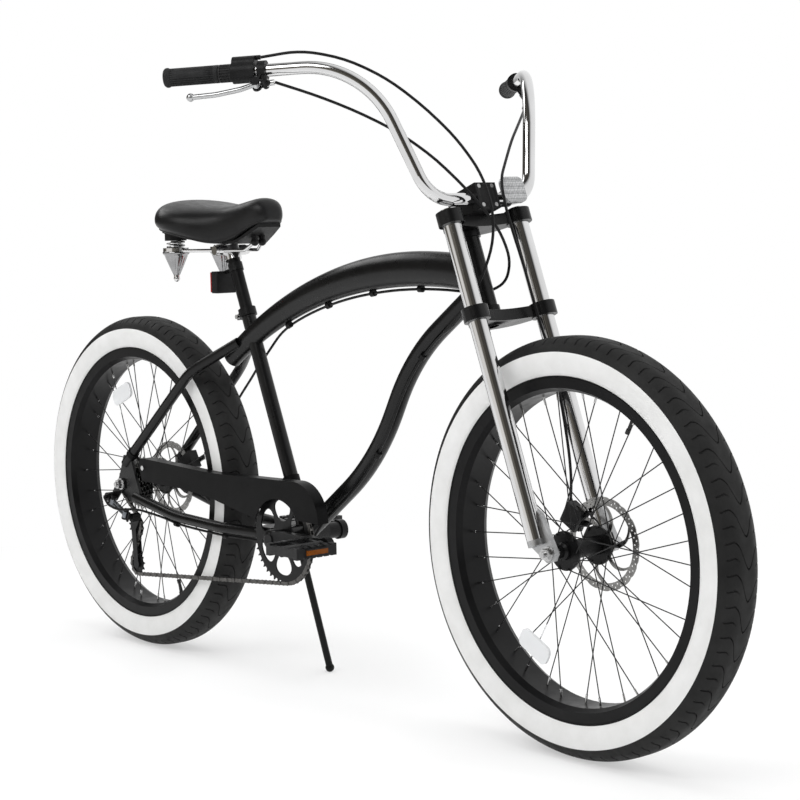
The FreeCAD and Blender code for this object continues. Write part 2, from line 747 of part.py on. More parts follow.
def tyre_shape():
    """Hollow tyre with a flat tread band, full sides and beads inside the rim."""
    crown_radius = float(dim.tyre_radius)
    half = float(dim.tyre_width) / 2
    flat = float(dim.tyre_flat) / 2
    wall = float(dim.tyre_wall)
    edge = float(dim.rim_edge_radius)
    inside = float(dim.rim_width) / 2 - float(dim.rim_wall) - 0.3
    middle = (edge + crown_radius) / 2 + 1
    lip = float(dim.rim_width) / 2 + 0.5
    floor = float(dim.rim_floor_radius) + float(dim.rim_wall) + 7

    def side_edges(sign):
        def spot(radius, across):
            return at(radius, 0, sign * across)
        mouth = spot(edge + 1, lip)
        wide = spot(middle, half)
        tread = spot(crown_radius, flat)
        inner_mouth = spot(edge + 4, inside - 1)
        inner_wide = spot(middle, half - wall)
        inner_tread = spot(crown_radius - wall - 1, flat)
        outer = [
            Part.LineSegment(spot(floor, inside), spot(edge + 0.3, inside)).toShape(),
            Part.LineSegment(spot(edge + 0.3, inside), mouth).toShape(),
            Part.Arc(mouth, spot((edge + 1 + middle) / 2, (lip + half) / 2 + 2.4), wide).toShape(),
            Part.Arc(wide, spot(middle + 0.66 * (crown_radius - middle), flat + 0.66 * (half - flat)), tread).toShape(),
        ]
        inner = [
            Part.LineSegment(spot(floor, inside), spot(floor, inside - wall)).toShape(),
            Part.LineSegment(spot(floor, inside - wall), inner_mouth).toShape(),
            Part.Arc(inner_mouth, spot((edge + 4 + middle) / 2, (inside - 1 + half - wall) / 2 + 2.2), inner_wide).toShape(),
            Part.Arc(inner_wide, spot(middle + 0.62 * (crown_radius - wall - 1 - middle),
                                      flat + 0.66 * (half - wall - flat)), inner_tread).toShape(),
        ]
        return outer + inner, tread, inner_tread

    left, left_tread, left_inner = side_edges(1)
    right, right_tread, right_inner = side_edges(-1)
    joins = [Part.LineSegment(left_tread, right_tread).toShape(), Part.LineSegment(left_inner, right_inner).toShape()]
    wire = Part.Wire(Part.__sortEdges__(left + right + joins))
    return Part.Face(wire).revolve(Vector(), Z_AXIS, 360)


def rim(label, place):
    half = dim.rim_width / 2
    wall = dim.rim_wall
    edge = dim.rim_edge_radius
    floor = dim.rim_floor_radius
    turned(label, [
        (floor, half * -0.7), (floor, half * 0.7), (floor + 6.0, half), (edge, half), (edge, half - wall),
        (floor + 8.0, half - wall), (floor + wall, half * 0.66), (floor + wall, half * -0.66),
        (floor + 8.0, wall - half), (edge, wall - half), (edge, -half), (floor + 6.0, -half),
    ], place)


def spokes(left_flange, right_flange):
    """Spokes laced three-cross, each with its nipple at the rim."""
    count = int(float(dim.spoke_count))
    step = 2 * math.pi / count
    hole = float(dim.flange_radius) - 4.0
    seat = float(dim.rim_floor_radius) - 0.7
    radius = float(dim.spoke_radius)
    pieces = []
    for index in range(count):
        side = SIDES[index % 2]
        flange = left_flange if side > 0 else right_flange
        turn = SIDES[(index // 2) % 2]
        outward = 3.4 + radius if turn > 0 else -(1.25 + radius + float(dim.flange_thickness) / 4)
        rim_angle = index * step
        hub_angle = rim_angle + turn * 6 * step
        start = at(hole * math.cos(hub_angle), hole * math.sin(hub_angle), flange + side * outward)
        end = at(seat * math.cos(rim_angle), seat * math.sin(rim_angle), side * 6.0)
        way = unit(end - start)
        pieces.append(fused([rod(start, end, radius), rod(end - way * 14, end, 2 * radius)]))
    return pieces


def brake_disc():
    """Braking band on six arms, with a hub ring and a row of holes."""
    outer = float(dim.disc_radius)
    low = float(dim.disc_side)
    high = low + float(dim.disc_thickness)
    shapes = [ring(Vector(), Z_AXIS, outer, outer - float(dim.disc_band), low, high)]
    shapes.append(ring(Vector(), Z_AXIS, 24.0, 11.0, low, high))
    arm = block(Vector(14, -4, low), at(outer - float(dim.disc_band) + 2, 4, high))
    hub_hole = disc(Vector(), Z_AXIS, 11.0, low - 1, high + 1)
    arm = arm.cut(hub_hole)
    arm.rotate(Vector(20, 0, 0), Z_AXIS, 16)
    for index in range(6):
        piece = arm.copy()
        piece.rotate(Vector(), Z_AXIS, 60 * index)
        shapes.append(piece)
    solid = fused(shapes).common(ring(Vector(), Z_AXIS, outer, 11.0, low, high))
    holes = []
    for index in range(36):
        radius = outer - float(dim.disc_band) * (0.34 if index % 2 else 0.66)
        angle = math.radians(10 * index)
        spot = at(radius * math.cos(angle), radius * math.sin(angle), 0)
        holes.append(disc(spot, Z_AXIS, 2.0, low - 1, high + 1))
    return solid.cut(Part.makeCompound(holes))


def wheel_fittings(reflector_angle, valve_angle, face):
    """Clip-on spoke reflector and the tube's valve."""
    ahead = Vector(math.cos(math.radians(reflector_angle)), math.sin(math.radians(reflector_angle)), 0)
    lens = block(Vector(-17, -36, face - 5), Vector(17, 36, face))
    lens = lens.makeFillet(12.0, [edge for edge in lens.Edges if abs(edge.tangentAt(edge.FirstParameter).z) > 0.9])
    lens.rotate(Vector(), Z_AXIS, reflector_angle)
    lens.translate(ahead * 200.0)
    way = Vector(math.cos(math.radians(valve_angle)), math.sin(math.radians(valve_angle)), 0)
    base = float(dim.rim_floor_radius) - 0.4
    valve = fused([rod(way * base, way * (base - 30), 3.0), rod(way * (base - 30), way * (base - 38), 4.0)])
    return [lens, valve]


def hub(label, profile_right, profile_left, right_flange, left_flange, place):
    """Hub shell between two spoke flanges; both ends are given by their own steps."""
    bore = dim.axle_radius + dim.axle_gap
    thick = dim.flange_thickness / 2
    edge = dim.flange_radius
    turned(label, [(bore, profile_right[0][1])] + profile_right + [
        (edge, right_flange - thick), (edge, right_flange + thick), (16.0, right_flange + thick),
        (16.0, left_flange - thick), (edge, left_flange - thick), (edge, left_flange + thick),
    ] + profile_left + [(bore, profile_left[-1][1])], place)


def axle(centre, half, nut_low, hub_low, hub_high, end):
    """Threaded axle with a locknut against the hub and a nut outside each dropout."""
    shapes = [disc(centre, Y_AXIS, dim.axle_radius, -half, half)]
    for side, low in ((-1, hub_low), (1, hub_high)):
        shapes.append(disc(centre, Y_AXIS * side, 9.0, low + 0.2, end))
        nut = prism([centre + at(9.8 * math.cos(math.radians(60 * k)), side * nut_low[side], 9.8 * math.sin(math.radians(60 * k)))
                     for k in range(6)], Y_AXIS * (side * 9.0))
        washer = disc(centre, Y_AXIS * side, 12.0, nut_low[side] - 2.0, nut_low[side])
        shapes += [nut, washer]
    return fused(shapes)


front_place = along(front_axle, Y_AXIS)
rear_place = along(rear_axle, Y_AXIS)
hub_end = float(dim.hub_spacing) / 2
boss_end = dim.disc_side - 0.1
front_flange = 38.0
rear_right_flange = -22.0
rear_left_flange = 34.0
feature("front_tyre", tyre_shape(), front_place)
rim("front_rim", front_place)
feature("front_spokes", Part.makeCompound(spokes(front_flange, -front_flange) + wheel_fittings(118.0, -62.0, -16.4)), front_place)
front_thick = dim.flange_thickness / 2
hub("front_hub", [(11.0, -58.0), (11.0, -50.0), (15.0, -46.0), (15.0, -front_flange - front_thick)],
    [(22.0, front_flange + front_thick), (22.0, boss_end), (11.0, boss_end), (11.0, 58.0)],
    -front_flange, front_flange, front_place)
feature("front_brake_disc", brake_disc(), front_place)
front_nut = hub_end + fork_plate + 2.0
feature("front_axle", axle(Vector(), 94.0, {-1: front_nut, 1: front_nut}, 58.0, 58.0, hub_end),
        Placement(steer_frame.multVec(fork_axle), Rotation()))

feature("rear_tyre", tyre_shape(), rear_place)
rim("rear_rim", rear_place)
rear_spokes = spokes(rear_left_flange, rear_right_flange) + wheel_fittings(-114.0, 66.0, -11.4)
feature("rear_spokes", Part.makeCompound(rear_spokes), rear_place)
freewheel_seat = 15.2
hub("rear_hub", [(freewheel_seat, -62.0), (freewheel_seat, -28.0), (20.0, -27.0), (20.0, rear_right_flange - front_thick)],
    [(22.0, rear_left_flange + front_thick), (22.0, boss_end), (11.0, boss_end), (11.0, 60.0)],
    rear_right_flange, rear_left_flange, rear_place)
feature("rear_brake_disc", brake_disc(), rear_place)
claw_thickness = 3.0
rear_nut = hub_end + float(dim.dropout_thickness) + 2.0
feature("rear_axle", axle(rear_axle, 92.0, {-1: rear_nut + claw_thickness, 1: rear_nut}, 62.0, 60.0, hub_end))


# Toothed wheels share one chain: the pitch circle follows from the tooth count

pitch = float(dim.chain_pitch)


def pitch_radius(teeth):
    return pitch / (2 * math.sin(math.pi / teeth))


def toothed(teeth, first_gap, low, high, tip=2.5):
    """A plate with its teeth between the rollers, about the Z axis."""
    radius = pitch_radius(teeth)
    points = []
    for index in range(teeth):
        middle = first_gap + (index + 0.5) * 2 * math.pi / teeth
        for across, rise in ((-3.0, -3.9), (-0.8, tip), (0.8, tip), (3.0, -3.9)):
            angle = middle + across / (radius + rise)
            points.append(at((radius + rise) * math.cos(angle), (radius + rise) * math.sin(angle), low))
    return prism(points, Vector(0, 0, high - low))


# Derailleur layout and the chain's path, both in the plane of the chain

guide_place = rear_axle + Vector(19, 0, -90)
cage_span = 80.0
knuckle_place = rear_axle + Vector(39, 0, -68)


def flat(point):
    return (point.x, point.z)


class Wheel:
    """A circle that the chain bends round; turn is +1 where it runs counter-clockwise."""

    def __init__(self, place, teeth, turn):
        self.x, self.z = flat(place)
        self.radius = pitch_radius(teeth)
        self.turn = turn


def tangent(first, last):
    """Ends of the straight run from one circle to the next, keeping each one's turn."""
    dx = last.x - first.x
    dz = last.z - first.z
    span = math.hypot(dx, dz)
    across = first.turn * first.radius - last.turn * last.radius
    lead = math.atan2(dz, dx)
    tilt = math.asin(across / span)
    angle = lead + tilt - math.pi / 2
    ends = []
    for wheel in (first, last):
        reach = wheel.turn * wheel.radius
        ends.append((wheel.x + reach * math.cos(angle), wheel.z + reach * math.sin(angle)))
    return ends


def chain_path(cage_angle):
    """Points close together all round the chain's pitch line."""
    tension = guide_place + Vector(cage_span * math.sin(cage_angle), 0, -cage_span * math.cos(cage_angle))
    wheels = [
        Wheel(bottom_bracket, int(float(dim.ring_teeth)), -1),
        Wheel(tension, int(float(dim.pulley_teeth)), -1),
        Wheel(guide_place, int(float(dim.pulley_teeth)), 1),
        Wheel(rear_axle, int(float(dim.sprocket_teeth)), -1),
    ]
    runs = [tangent(wheel, wheels[(index + 1) % 4]) for index, wheel in enumerate(wheels)]
    path = []
    for index, wheel in enumerate(wheels):
        enter = runs[index - 1][1]
        leave = runs[index][0]
        start = math.atan2(enter[1] - wheel.z, enter[0] - wheel.x)
        end = math.atan2(leave[1] - wheel.z, leave[0] - wheel.x)
        sweep = (end - start) * wheel.turn % (2 * math.pi) * wheel.turn
        steps = max(8, int(abs(sweep) * wheel.radius / 0.5))
        for step in range(steps):
            angle = start + sweep * step / steps
            path.append((wheel.x + wheel.radius * math.cos(angle), wheel.z + wheel.radius * math.sin(angle)))
        length = math.hypot(runs[index][1][0] - leave[0], runs[index][1][1] - leave[1])
        steps = max(2, int(length / 0.5))
        for step in range(steps):
            share = step / steps
            path.append((leave[0] + share * (runs[index][1][0] - leave[0]), leave[1] + share * (runs[index][1][1] - leave[1])))
    return path, tension


def march(path, count):
    """Roller places one pitch apart along the path, and the gap left to the first."""
    places = [path[0]]
    index = 0
    total = len(path)
    for roller in range(count):
        here = places[-1]
        while True:
            a = path[index % total]
            b = path[(index + 1) % total]
            if math.hypot(b[0] - here[0], b[1] - here[1]) >= pitch and index < 2 * total:
                low, high = 0.0, 1.0
                for halving in range(40):
                    share = (low + high) / 2
                    x = a[0] + share * (b[0] - a[0])
                    z = a[1] + share * (b[1] - a[1])
                    if math.hypot(x - here[0], z - here[1]) < pitch:
                        low = share
                    else:
                        high = share
                places.append((x, z))
                break
            index += 1
    ahead = index + share - total
    return places[:-1], ahead


def closed_chain():
    """Swings the cage until a whole, even number of links just closes."""
    path, tension = chain_path(0.0)
    length = 0.0
    for a, b in zip(path, path[1:] + path[:1]):
        length += math.hypot(b[0] - a[0], b[1] - a[1])
    links = 2 * round((length / pitch - 0.2) / 2)
    low, high = math.radians(-60.0), math.radians(60.0)
    for halving in range(40):
        angle = (low + high) / 2
        path, tension = chain_path(angle)
        places, ahead = march(path, links)
        if ahead > 0:
            high = angle
        else:
            low = angle
    return places, tension, angle


rollers, tension_place, cage_angle = closed_chain()
print("chain: %d links, cage at %.2f degrees" % (len(rollers), math.degrees(cage_angle)))


def roller_phase(centre, radius):
    """Angle, about the wheel's centre, of a roller that sits on its pitch circle."""
    x, z = flat(centre)
    best = min(rollers, key=lambda place: abs(math.hypot(place[0] - x, place[1] - z) - radius))
    return math.atan2(best[1] - z, best[0] - x)


def chain_link(half_inner, half_outer, hole, roller_radius):
    """Two side plates joined at both ends, about the line from one end to the next."""
    shapes = []
    waist = 3.4
    for low in (half_inner, -half_outer):
        high = low + half_outer - half_inner
        for end in (0.0, pitch):
            shapes.append(disc(Vector(end, 0, 0), Y_AXIS, 4.1, low, high))
        shapes.append(block(Vector(0, low, -waist), Vector(pitch, high, waist)))
    for end in (0.0, pitch):
        shapes.append(disc(Vector(end, 0, 0), Y_AXIS, roller_radius, -half_outer, half_outer))
    link = fused(shapes)
    if hole:
        for end in (0.0, pitch):
            link = link.cut(disc(Vector(end, 0, 0), Y_AXIS, hole, -20, 20))
    return link


inner_link = chain_link(1.9, 2.7, 1.9, 3.7)
outer_link = chain_link(2.8, 3.6, 0.0, 1.8)
links = []
for index, place in enumerate(rollers):
    following = rollers[(index + 1) % len(rollers)]
    link = (outer_link if index % 2 else inner_link).copy()
    lean = math.degrees(math.atan2(following[1] - place[1], following[0] - place[0]))
    link.Placement = Placement(at(place[0], -dim.chain_side, place[1]), Rotation(Y_AXIS, -lean))
    links.append(link)
feature("chain", Part.makeCompound(links))


# Crank set: chainring, spindle and two arms with the pedal axles screwed in.
# It is modelled with the arms along X, then turned to where it stands at rest.

crank_lean = math.radians(float(dim.crank_angle))
crank_turn = Placement(bottom_bracket, Rotation(Y_AXIS, -float(dim.crank_angle)))
arm_low = float(dim.crank_side)
arm_high = arm_low + float(dim.crank_thickness)
boss_radius = 16.0
crank_length = float(dim.crank_length)
cups_end = float(dim.shell_half) + lip


def crank_arm(side):
    """Arm that narrows from the boss to the pedal eye."""
    pedal_eye = Vector(-side * crank_length, 0, 0)
    shapes = [disc(Vector(), Y_AXIS * side, boss_radius, cups_end + 1, arm_high)]
    shapes.append(disc(Vector(), Y_AXIS * side, 19.0, arm_low, arm_high))
    shapes.append(disc(pedal_eye, Y_AXIS * side, 13.0, arm_low, arm_high))
    corners = [at(0, side * arm_low, 17), at(pedal_eye.x, side * arm_low, 11),
               at(pedal_eye.x, side * arm_low, -11), at(0, side * arm_low, -17)]
    shapes.append(prism(corners, Y_AXIS * (side * float(dim.crank_thickness))))
    arm = fused(shapes)
    arm = arm.cut(disc(Vector(), Y_AXIS, spindle_radius, -200, 200))
    arm = arm.cut(disc(pedal_eye, Y_AXIS, 5.0, -200, 200))
    pin = disc(pedal_eye, Y_AXIS * side, 5.0, arm_low, arm_high + 6 + float(dim.pedal_length))
    cap = disc(Vector(), Y_AXIS * side, 11.0, arm_high, arm_high + 3)
    return [arm, pin, cap]


spindle = disc(Vector(), Y_AXIS, spindle_radius, -arm_high, arm_high)
feature("right_crank", Part.makeCompound(crank_arm(-1) + [spindle]), crank_turn)
feature("left_crank", Part.makeCompound(crank_arm(1)), crank_turn)

ring_teeth = int(float(dim.ring_teeth))
ring_radius = pitch_radius(ring_teeth)
ring_phase = roller_phase(bottom_bracket, ring_radius)
ring_half = float(dim.ring_thickness) / 2


def petal(turn):
    """Three-cornered opening with a rounded outer side."""
    outer = ring_radius - 18.0
    inner = 0.5 * ring_radius
    spread = math.radians(15.5)
    corners = []
    for angle, radius in ((turn - spread, outer - 5), (turn, outer), (turn + spread, outer - 5)):
        corners.append(at(radius * math.cos(angle), radius * math.sin(angle), -5))
    tip = at(inner * math.cos(turn), inner * math.sin(turn), -5)
    edges = [
        Part.Arc(corners[0], corners[1], corners[2]).toShape(),
        Part.LineSegment(corners[2], tip).toShape(),
        Part.LineSegment(tip, corners[0]).toShape(),
    ]
    hole = Part.Face(Part.Wire(edges)).extrude(Vector(0, 0, 10))
    uprights = [edge for edge in hole.Edges if abs(edge.tangentAt(edge.FirstParameter).z) > 0.9]
    return hole.makeFillet(4.5, uprights)


chainring = toothed(ring_teeth, ring_phase, -ring_half, ring_half)
chainring = chainring.cut(disc(Vector(), Z_AXIS, boss_radius, -9, 9))
PETALS = 9
chainring = chainring.cut(Part.makeCompound([petal(2 * math.pi * (k + 0.45) / PETALS) for k in range(PETALS)]))
# Its Z axis points right here, so X stays ahead and Y points up
chainring_place = Placement(bottom_bracket - Y_AXIS * float(dim.chain_side), Rotation(Vector(1, 0, 0), 90))
feature("chainring", chainring, chainring_place)


# Pedals: a sleeve on the axle, two treads, two ends and a reflector front and back

def pedal(side):
    low = arm_high + 8.0
    high = low + float(dim.pedal_length)
    half = float(dim.pedal_depth) / 2

    def piece(x_low, x_high, y_low, y_high, z_half):
        y_near, y_far = sorted((side * y_low, side * y_high))
        return block(at(x_low, y_near, -z_half), at(x_high, y_far, z_half))

    shapes = [disc(Vector(), Y_AXIS * side, 10.0, low, high)]
    for x_low, x_high in ((-half, -half + 12), (half - 12, half)):
        shapes.append(piece(x_low, x_high, low, high, 11.0))
    for y_low, y_high in ((low, low + 8), (high - 8, high), ((low + high) / 2 - 5, (low + high) / 2 + 5)):
        shapes.append(piece(-half, half, y_low, y_high, 8.0))
    body = fused(shapes)
    slots = []
    for step in range(5):
        place = low + (step + 1) * (high - low) / 6
        for x_low, x_high in ((-half - 1, -half + 13), (half - 13, half + 1)):
            for z in (11.0, -11.0):
                y_near, y_far = sorted((side * (place - 2.5), side * (place + 2.5)))
                slots.append(block(at(x_low, y_near, z - 2.5), at(x_high, y_far, z + 2.5)))
    bore = disc(Vector(), Y_AXIS * side, 5.05, low - 1, arm_high + 6.4 + float(dim.pedal_length))
    body = body.cut(Part.makeCompound(slots)).cut(bore)
    middle = (low + high) / 2
    lenses = [piece(half, half + 3, middle - 24, middle + 24, 7.0), piece(-half - 3, -half, middle - 24, middle + 24, 7.0)]
    eye = Vector(-side * crank_length * math.cos(crank_lean), 0, -side * crank_length * math.sin(crank_lean))
    return Part.makeCompound([body] + lenses), Placement(bottom_bracket + eye, Rotation())


for label, side in (("right_pedal", -1), ("left_pedal", 1)):
    pedal_shape, pedal_place = pedal(side)
    feature(label, pedal_shape, pedal_place)


# Freewheel: seven sprockets on one body, the chain on the second smallest

sprocket_teeth = int(float(dim.sprocket_teeth))
sprocket_step = 5.0
sprocket_phase = roller_phase(rear_axle, pitch_radius(sprocket_teeth))
freewheel_shapes = [disc(Vector(), Z_AXIS, 22.0, 29.5, 62.8)]
for index, extra in enumerate((-2, 0, 2, 4, 6, 8, 12)):
    middle = float(dim.chain_side) + sprocket_step * (1 - index)
    freewheel_shapes.append(toothed(sprocket_teeth + extra, sprocket_phase, middle - 0.9, middle + 0.9, 2.0))
freewheel = fused(freewheel_shapes).cut(disc(Vector(), Z_AXIS, freewheel_seat + 0.1, 0, 100))
feature("freewheel", freewheel, Placement(rear_axle, Rotation(Vector(1, 0, 0), 90)))


# Derailleur: mount on the axle, links, knuckle, and the sprung cage with two pulleys

link_start = rear_axle + Vector(-17, -88, -38)
link_end = rear_axle + Vector(27, -86, -60.5)
LINK_PIN = unit((link_end - link_start).cross(Y_AXIS))
if LINK_PIN.z < 0:
    LINK_PIN = LINK_PIN * -1
LINK_WAY = unit(link_end - link_start)
eye_half = 7.0
ear_low = eye_half + 0.3
ear_high = ear_low + 4.0


def clevis(centre, away):
    """Two ears on a pin, joined by a web on the side away from the link."""
    shapes = [disc(centre, LINK_PIN, 2.0, -ear_high, ear_high)]
    for side in SIDES:
        shapes.append(disc(centre, LINK_PIN * side, 6.0, ear_low, ear_high))
        lug_start = centre + LINK_PIN * (side * (ear_low + 2.0))
        shapes.append(rod(lug_start, lug_start + away * 12, 1.8))
    web = LINK_PIN * (ear_high - 0.4)
    shapes.append(rod(centre + away * 12 - web, centre + away * 12 + web, 2.6))
    return shapes


hanger_bolt = rear_axle + Vector(-29, -hub_end - float(dim.dropout_thickness), -28)
claw_base = rear_axle + Vector(0, -hub_end - float(dim.dropout_thickness), 0)
claw_outline = [(-12, 10), (12, 10), (14, -8), (-2, -18), (-22, -38), (-36, -38), (-40, -26), (-26, -8)]
claw = prism([claw_base + Vector(x, 0, z) for x, z in claw_outline], Y_AXIS * -claw_thickness)
claw = claw.cut(disc(rear_axle, Y_AXIS, dim.axle_radius, -200, 200))
b_knuckle = disc(hanger_bolt, Y_AXIS, 9.0, -22, -claw_thickness)
b_arm = rod(hanger_bolt + Vector(0, -14, 0), link_start - LINK_WAY * 12, 4.5)
barrel = disc(hanger_bolt, Y_AXIS, 4.0, -28, -22)
feature("derailleur_mount", fused([claw, b_knuckle, b_arm, barrel] + clevis(link_start, LINK_WAY * -1)))

link_shapes = [disc(link_start, LINK_PIN, 6.0, -eye_half, eye_half), disc(link_end, LINK_PIN, 6.0, -eye_half, eye_half)]
for level in SIDES:
    shift = LINK_PIN * (level * 3.5)
    link_shapes.append(rod(link_start + shift, link_end + shift, 3.4))
derailleur_link = fused(link_shapes)
for centre in (link_start, link_end):
    derailleur_link = derailleur_link.cut(disc(centre, LINK_PIN, 2.05, -20, 20))
feature("derailleur_links", derailleur_link)

chain_plane = -float(dim.chain_side)
cage_gap = 4.6
cage_sheet = 1.6
cage_outer = chain_plane - cage_gap - cage_sheet
knuckle_low = cage_outer - 0.3
knuckle_shapes = [disc(knuckle_place, Y_AXIS, 9.0, -80, knuckle_low)]
knuckle_shapes.append(rod(at(knuckle_place.x, -76, knuckle_place.z), link_end + LINK_WAY * 12, 4.5))
knuckle = fused(knuckle_shapes + clevis(link_end, LINK_WAY))
knuckle = knuckle.cut(disc(knuckle_place, Y_AXIS, 4.0, -77, knuckle_low + 1))
feature("derailleur_knuckle", knuckle)


def cage_plate(low):
    way = unit(tension_place - guide_place)
    across = Vector(way.z, 0, -way.x) * 8.0
    high = low + cage_sheet
    ends = [disc(place, Y_AXIS, 10.0, low, high) for place in (guide_place, tension_place)]
    corners = [guide_place + across, tension_place + across, tension_place - across, guide_place - across]
    strip = prism([point + Y_AXIS * low for point in corners], Y_AXIS * cage_sheet)
    return fused(ends + [strip])


outer_plate = cage_plate(cage_outer)
pivot_eye = disc(knuckle_place, Y_AXIS, 9.0, cage_outer, cage_outer + cage_sheet)
pivot_arm = prism([place + Y_AXIS * cage_outer for place in (
    knuckle_place + Vector(0, 0, 8), guide_place + Vector(-9, 0, 2), guide_place + Vector(9, 0, -6), knuckle_place + Vector(9, 0, 0))],
    Y_AXIS * cage_sheet)
cage_shapes = [outer_plate, pivot_eye, pivot_arm, cage_plate(chain_plane + cage_gap)]
cage_shapes.append(disc(knuckle_place, Y_AXIS, 3.95, -76.5, cage_outer + 1))
for place in (guide_place, tension_place):
    cage_shapes.append(disc(place, Y_AXIS, 2.5, cage_outer, chain_plane + cage_gap + 1))
feature("derailleur_cage", fused(cage_shapes))

pulley_teeth = int(float(dim.pulley_teeth))
for label, place in (("guide_pulley", guide_place), ("tension_pulley", tension_place)):
    phase = roller_phase(place, pitch_radius(pulley_teeth))
    pulley = fused([toothed(pulley_teeth, phase, -1.2, 1.2, 1.6), disc(Vector(), Z_AXIS, 8.0, -4.4, 4.4)])
    pulley = pulley.cut(disc(Vector(), Z_AXIS, 2.55, -9, 9))
    feature(label, pulley, Placement(place + Y_AXIS * chain_plane, Rotation(Vector(1, 0, 0), 90)))


# Chain guard: a plate outside the chain with a turned-in edge and a round window

guard_face = -float(dim.guard_side)
guard_sheet = float(dim.guard_sheet)
guard_edge = [
    bottom_bracket + Vector(128, 0, 40), bottom_bracket + Vector(120, 0, 116), bottom_bracket + Vector(-218, 0, 108),
    rear_axle + Vector(56, 0, 61), rear_axle + Vector(72, 0, 12),
]
guard_edge = [point + Y_AXIS * guard_face for point in guard_edge]
guard_rim = bent_wire(guard_edge, [72, 900, 14])
window_low = math.radians(33.0)
window_high = math.radians(156.0)
window_radius = float(dim.guard_window_radius)


def window_point(angle):
    return bottom_bracket + at(window_radius * math.cos(angle), guard_face, window_radius * math.sin(angle))


lower_edge = [guard_edge[-1], rear_axle + at(219, guard_face, 9), rear_axle + at(327, guard_face, -2), window_point(window_high)]
guard_edges = list(guard_rim.OrderedEdges)
for start, end in zip(lower_edge, lower_edge[1:]):
    guard_edges.append(Part.LineSegment(start, end).toShape())
window_middle = window_point((window_low + window_high) / 2)
guard_edges.append(Part.Arc(window_point(window_high), window_middle, window_point(window_low)).toShape())
guard_edges.append(Part.LineSegment(window_point(window_low), guard_edge[0]).toShape())
guard_plate = Part.Face(Part.Wire(Part.__sortEdges__(guard_edges))).extrude(Y_AXIS * -guard_sheet)
inward = unit(Vector(guard_edge[0].z - guard_edge[1].z, 0, guard_edge[1].x - guard_edge[0].x))
if inward.x > 0:
    inward = inward * -1
strip_start = guard_edge[0] - Y_AXIS * guard_sheet
strip = Part.makePolygon([
    strip_start, strip_start + inward * guard_sheet,
    strip_start + inward * guard_sheet + Y_AXIS * float(dim.guard_flange),
    strip_start + Y_AXIS * float(dim.guard_flange), strip_start,
])
guard_flange = Part.Wire(guard_rim.OrderedEdges[:5]).makePipeShell([strip], True, False)
guard = fused([guard_plate, guard_flange])

# Clips that hold it: one round the seat tube, one round the right seat stay
clip_height = 112.0
clip_centre = bottom_bracket + SEAT_UP * clip_height
clip = ring(clip_centre, SEAT_UP, dim.seat_tube_radius + 2.0, dim.seat_tube_radius, -6, 6)
clip_tab = block(clip_centre + Vector(-5, guard_face, -6), clip_centre + Vector(5, -float(dim.seat_tube_radius) - 1.5, -4))
front_clip = fused([clip, clip_tab]).cut(guard)
stay_spot = rear_axle + Vector(60, 0, 85)
stay_edge = seat_stay_wires[-1].OrderedEdges[-1]
stay_end = rear_axle + Vector(12, -dropout_side, 44)
stay_way = unit(stay_edge.valueAt(stay_edge.FirstParameter) - stay_edge.valueAt(stay_edge.LastParameter))
if stay_way.z < 0:
    stay_way = stay_way * -1
stay_centre = stay_end + stay_way * 36.0
rear_band = ring(stay_centre, stay_way, dim.seat_stay_radius + 2.0, dim.seat_stay_radius, -6, 6)
tab_start = stay_centre + at(float(dim.seat_stay_radius) * 0.8, 0, -6)
tab_end = rear_axle + Vector(78, 0, 40)
rear_tab = rod(at(tab_start.x, guard_face + 3.0, tab_start.z), at(tab_end.x, guard_face + 3.0, tab_end.z), 3.0)
rear_clip = fused([rear_band, rear_tab]).cut(swept(seat_stay_wires[-1], dim.seat_stay_radius)).cut(guard)
screw = disc(at(tab_end.x, guard_face - guard_sheet, tab_end.z), Y_AXIS, 5.0, -3, 0)
feature("chain_guard", Part.makeCompound([guard, front_clip, max(rear_clip.Solids, key=lambda s: s.Volume), screw]))


# Kickstand: bracket clamped across the chain stays, and the leg on its slanted pin

stand_pivot = bottom_bracket + Vector(-70, 40, -44)
stand_foot = at(bottom_bracket.x - 48, 88, 0)
foot_radius = 9.0
STAND_DOWN = unit(stand_foot + Vector(0, 0, 8) - stand_pivot)
STAND_UP = unit(Vector(-0.985, 0.17, -0.02))
STAND_PIN = unit(STAND_DOWN.cross(STAND_UP))
stay_z = bottom_bracket.z - 3.5
stay_r = float(dim.chain_stay_radius)
bracket_x = bottom_bracket.x - 68
top_plate = block(at(bracket_x - 20, -50, stay_z + stay_r + 1.2), at(bracket_x + 20, 50, stay_z + stay_r + 5))
casting = block(at(bracket_x - 20, -29, stay_z - stay_r - 9), at(bracket_x + 20, 50, stay_z - stay_r - 1.2))
bracket_bolt = fused([
    disc(at(bracket_x, 0, 0), Z_AXIS, 5.0, stay_z - stay_r - 9, stay_z + stay_r + 5),
    disc(at(bracket_x, 0, 0), Z_AXIS, 8.0, stay_z + stay_r + 5, stay_z + stay_r + 11),
])
ear = disc(stand_pivot, STAND_PIN, 11.0, -20, -8.4)
ear_block = block(at(bracket_x - 12, 14, stand_pivot.z), at(bracket_x + 12, 30, stay_z - stay_r - 8))
stand_pin = disc(stand_pivot, STAND_PIN, 5.0, -20, 8.0)
leg_clear = disc(stand_pivot, STAND_PIN, 13.0, -8.2, 14)
casting = fused([casting, ear, ear_block.cut(leg_clear), stand_pin])
stand_stays = Part.makeCompound(chain_stay_core)
bracket = [top_plate.cut(bracket_bolt).cut(stand_stays), casting.cut(bracket_bolt).cut(stand_stays), bracket_bolt]
feature("kickstand_bracket", Part.makeCompound(bracket))

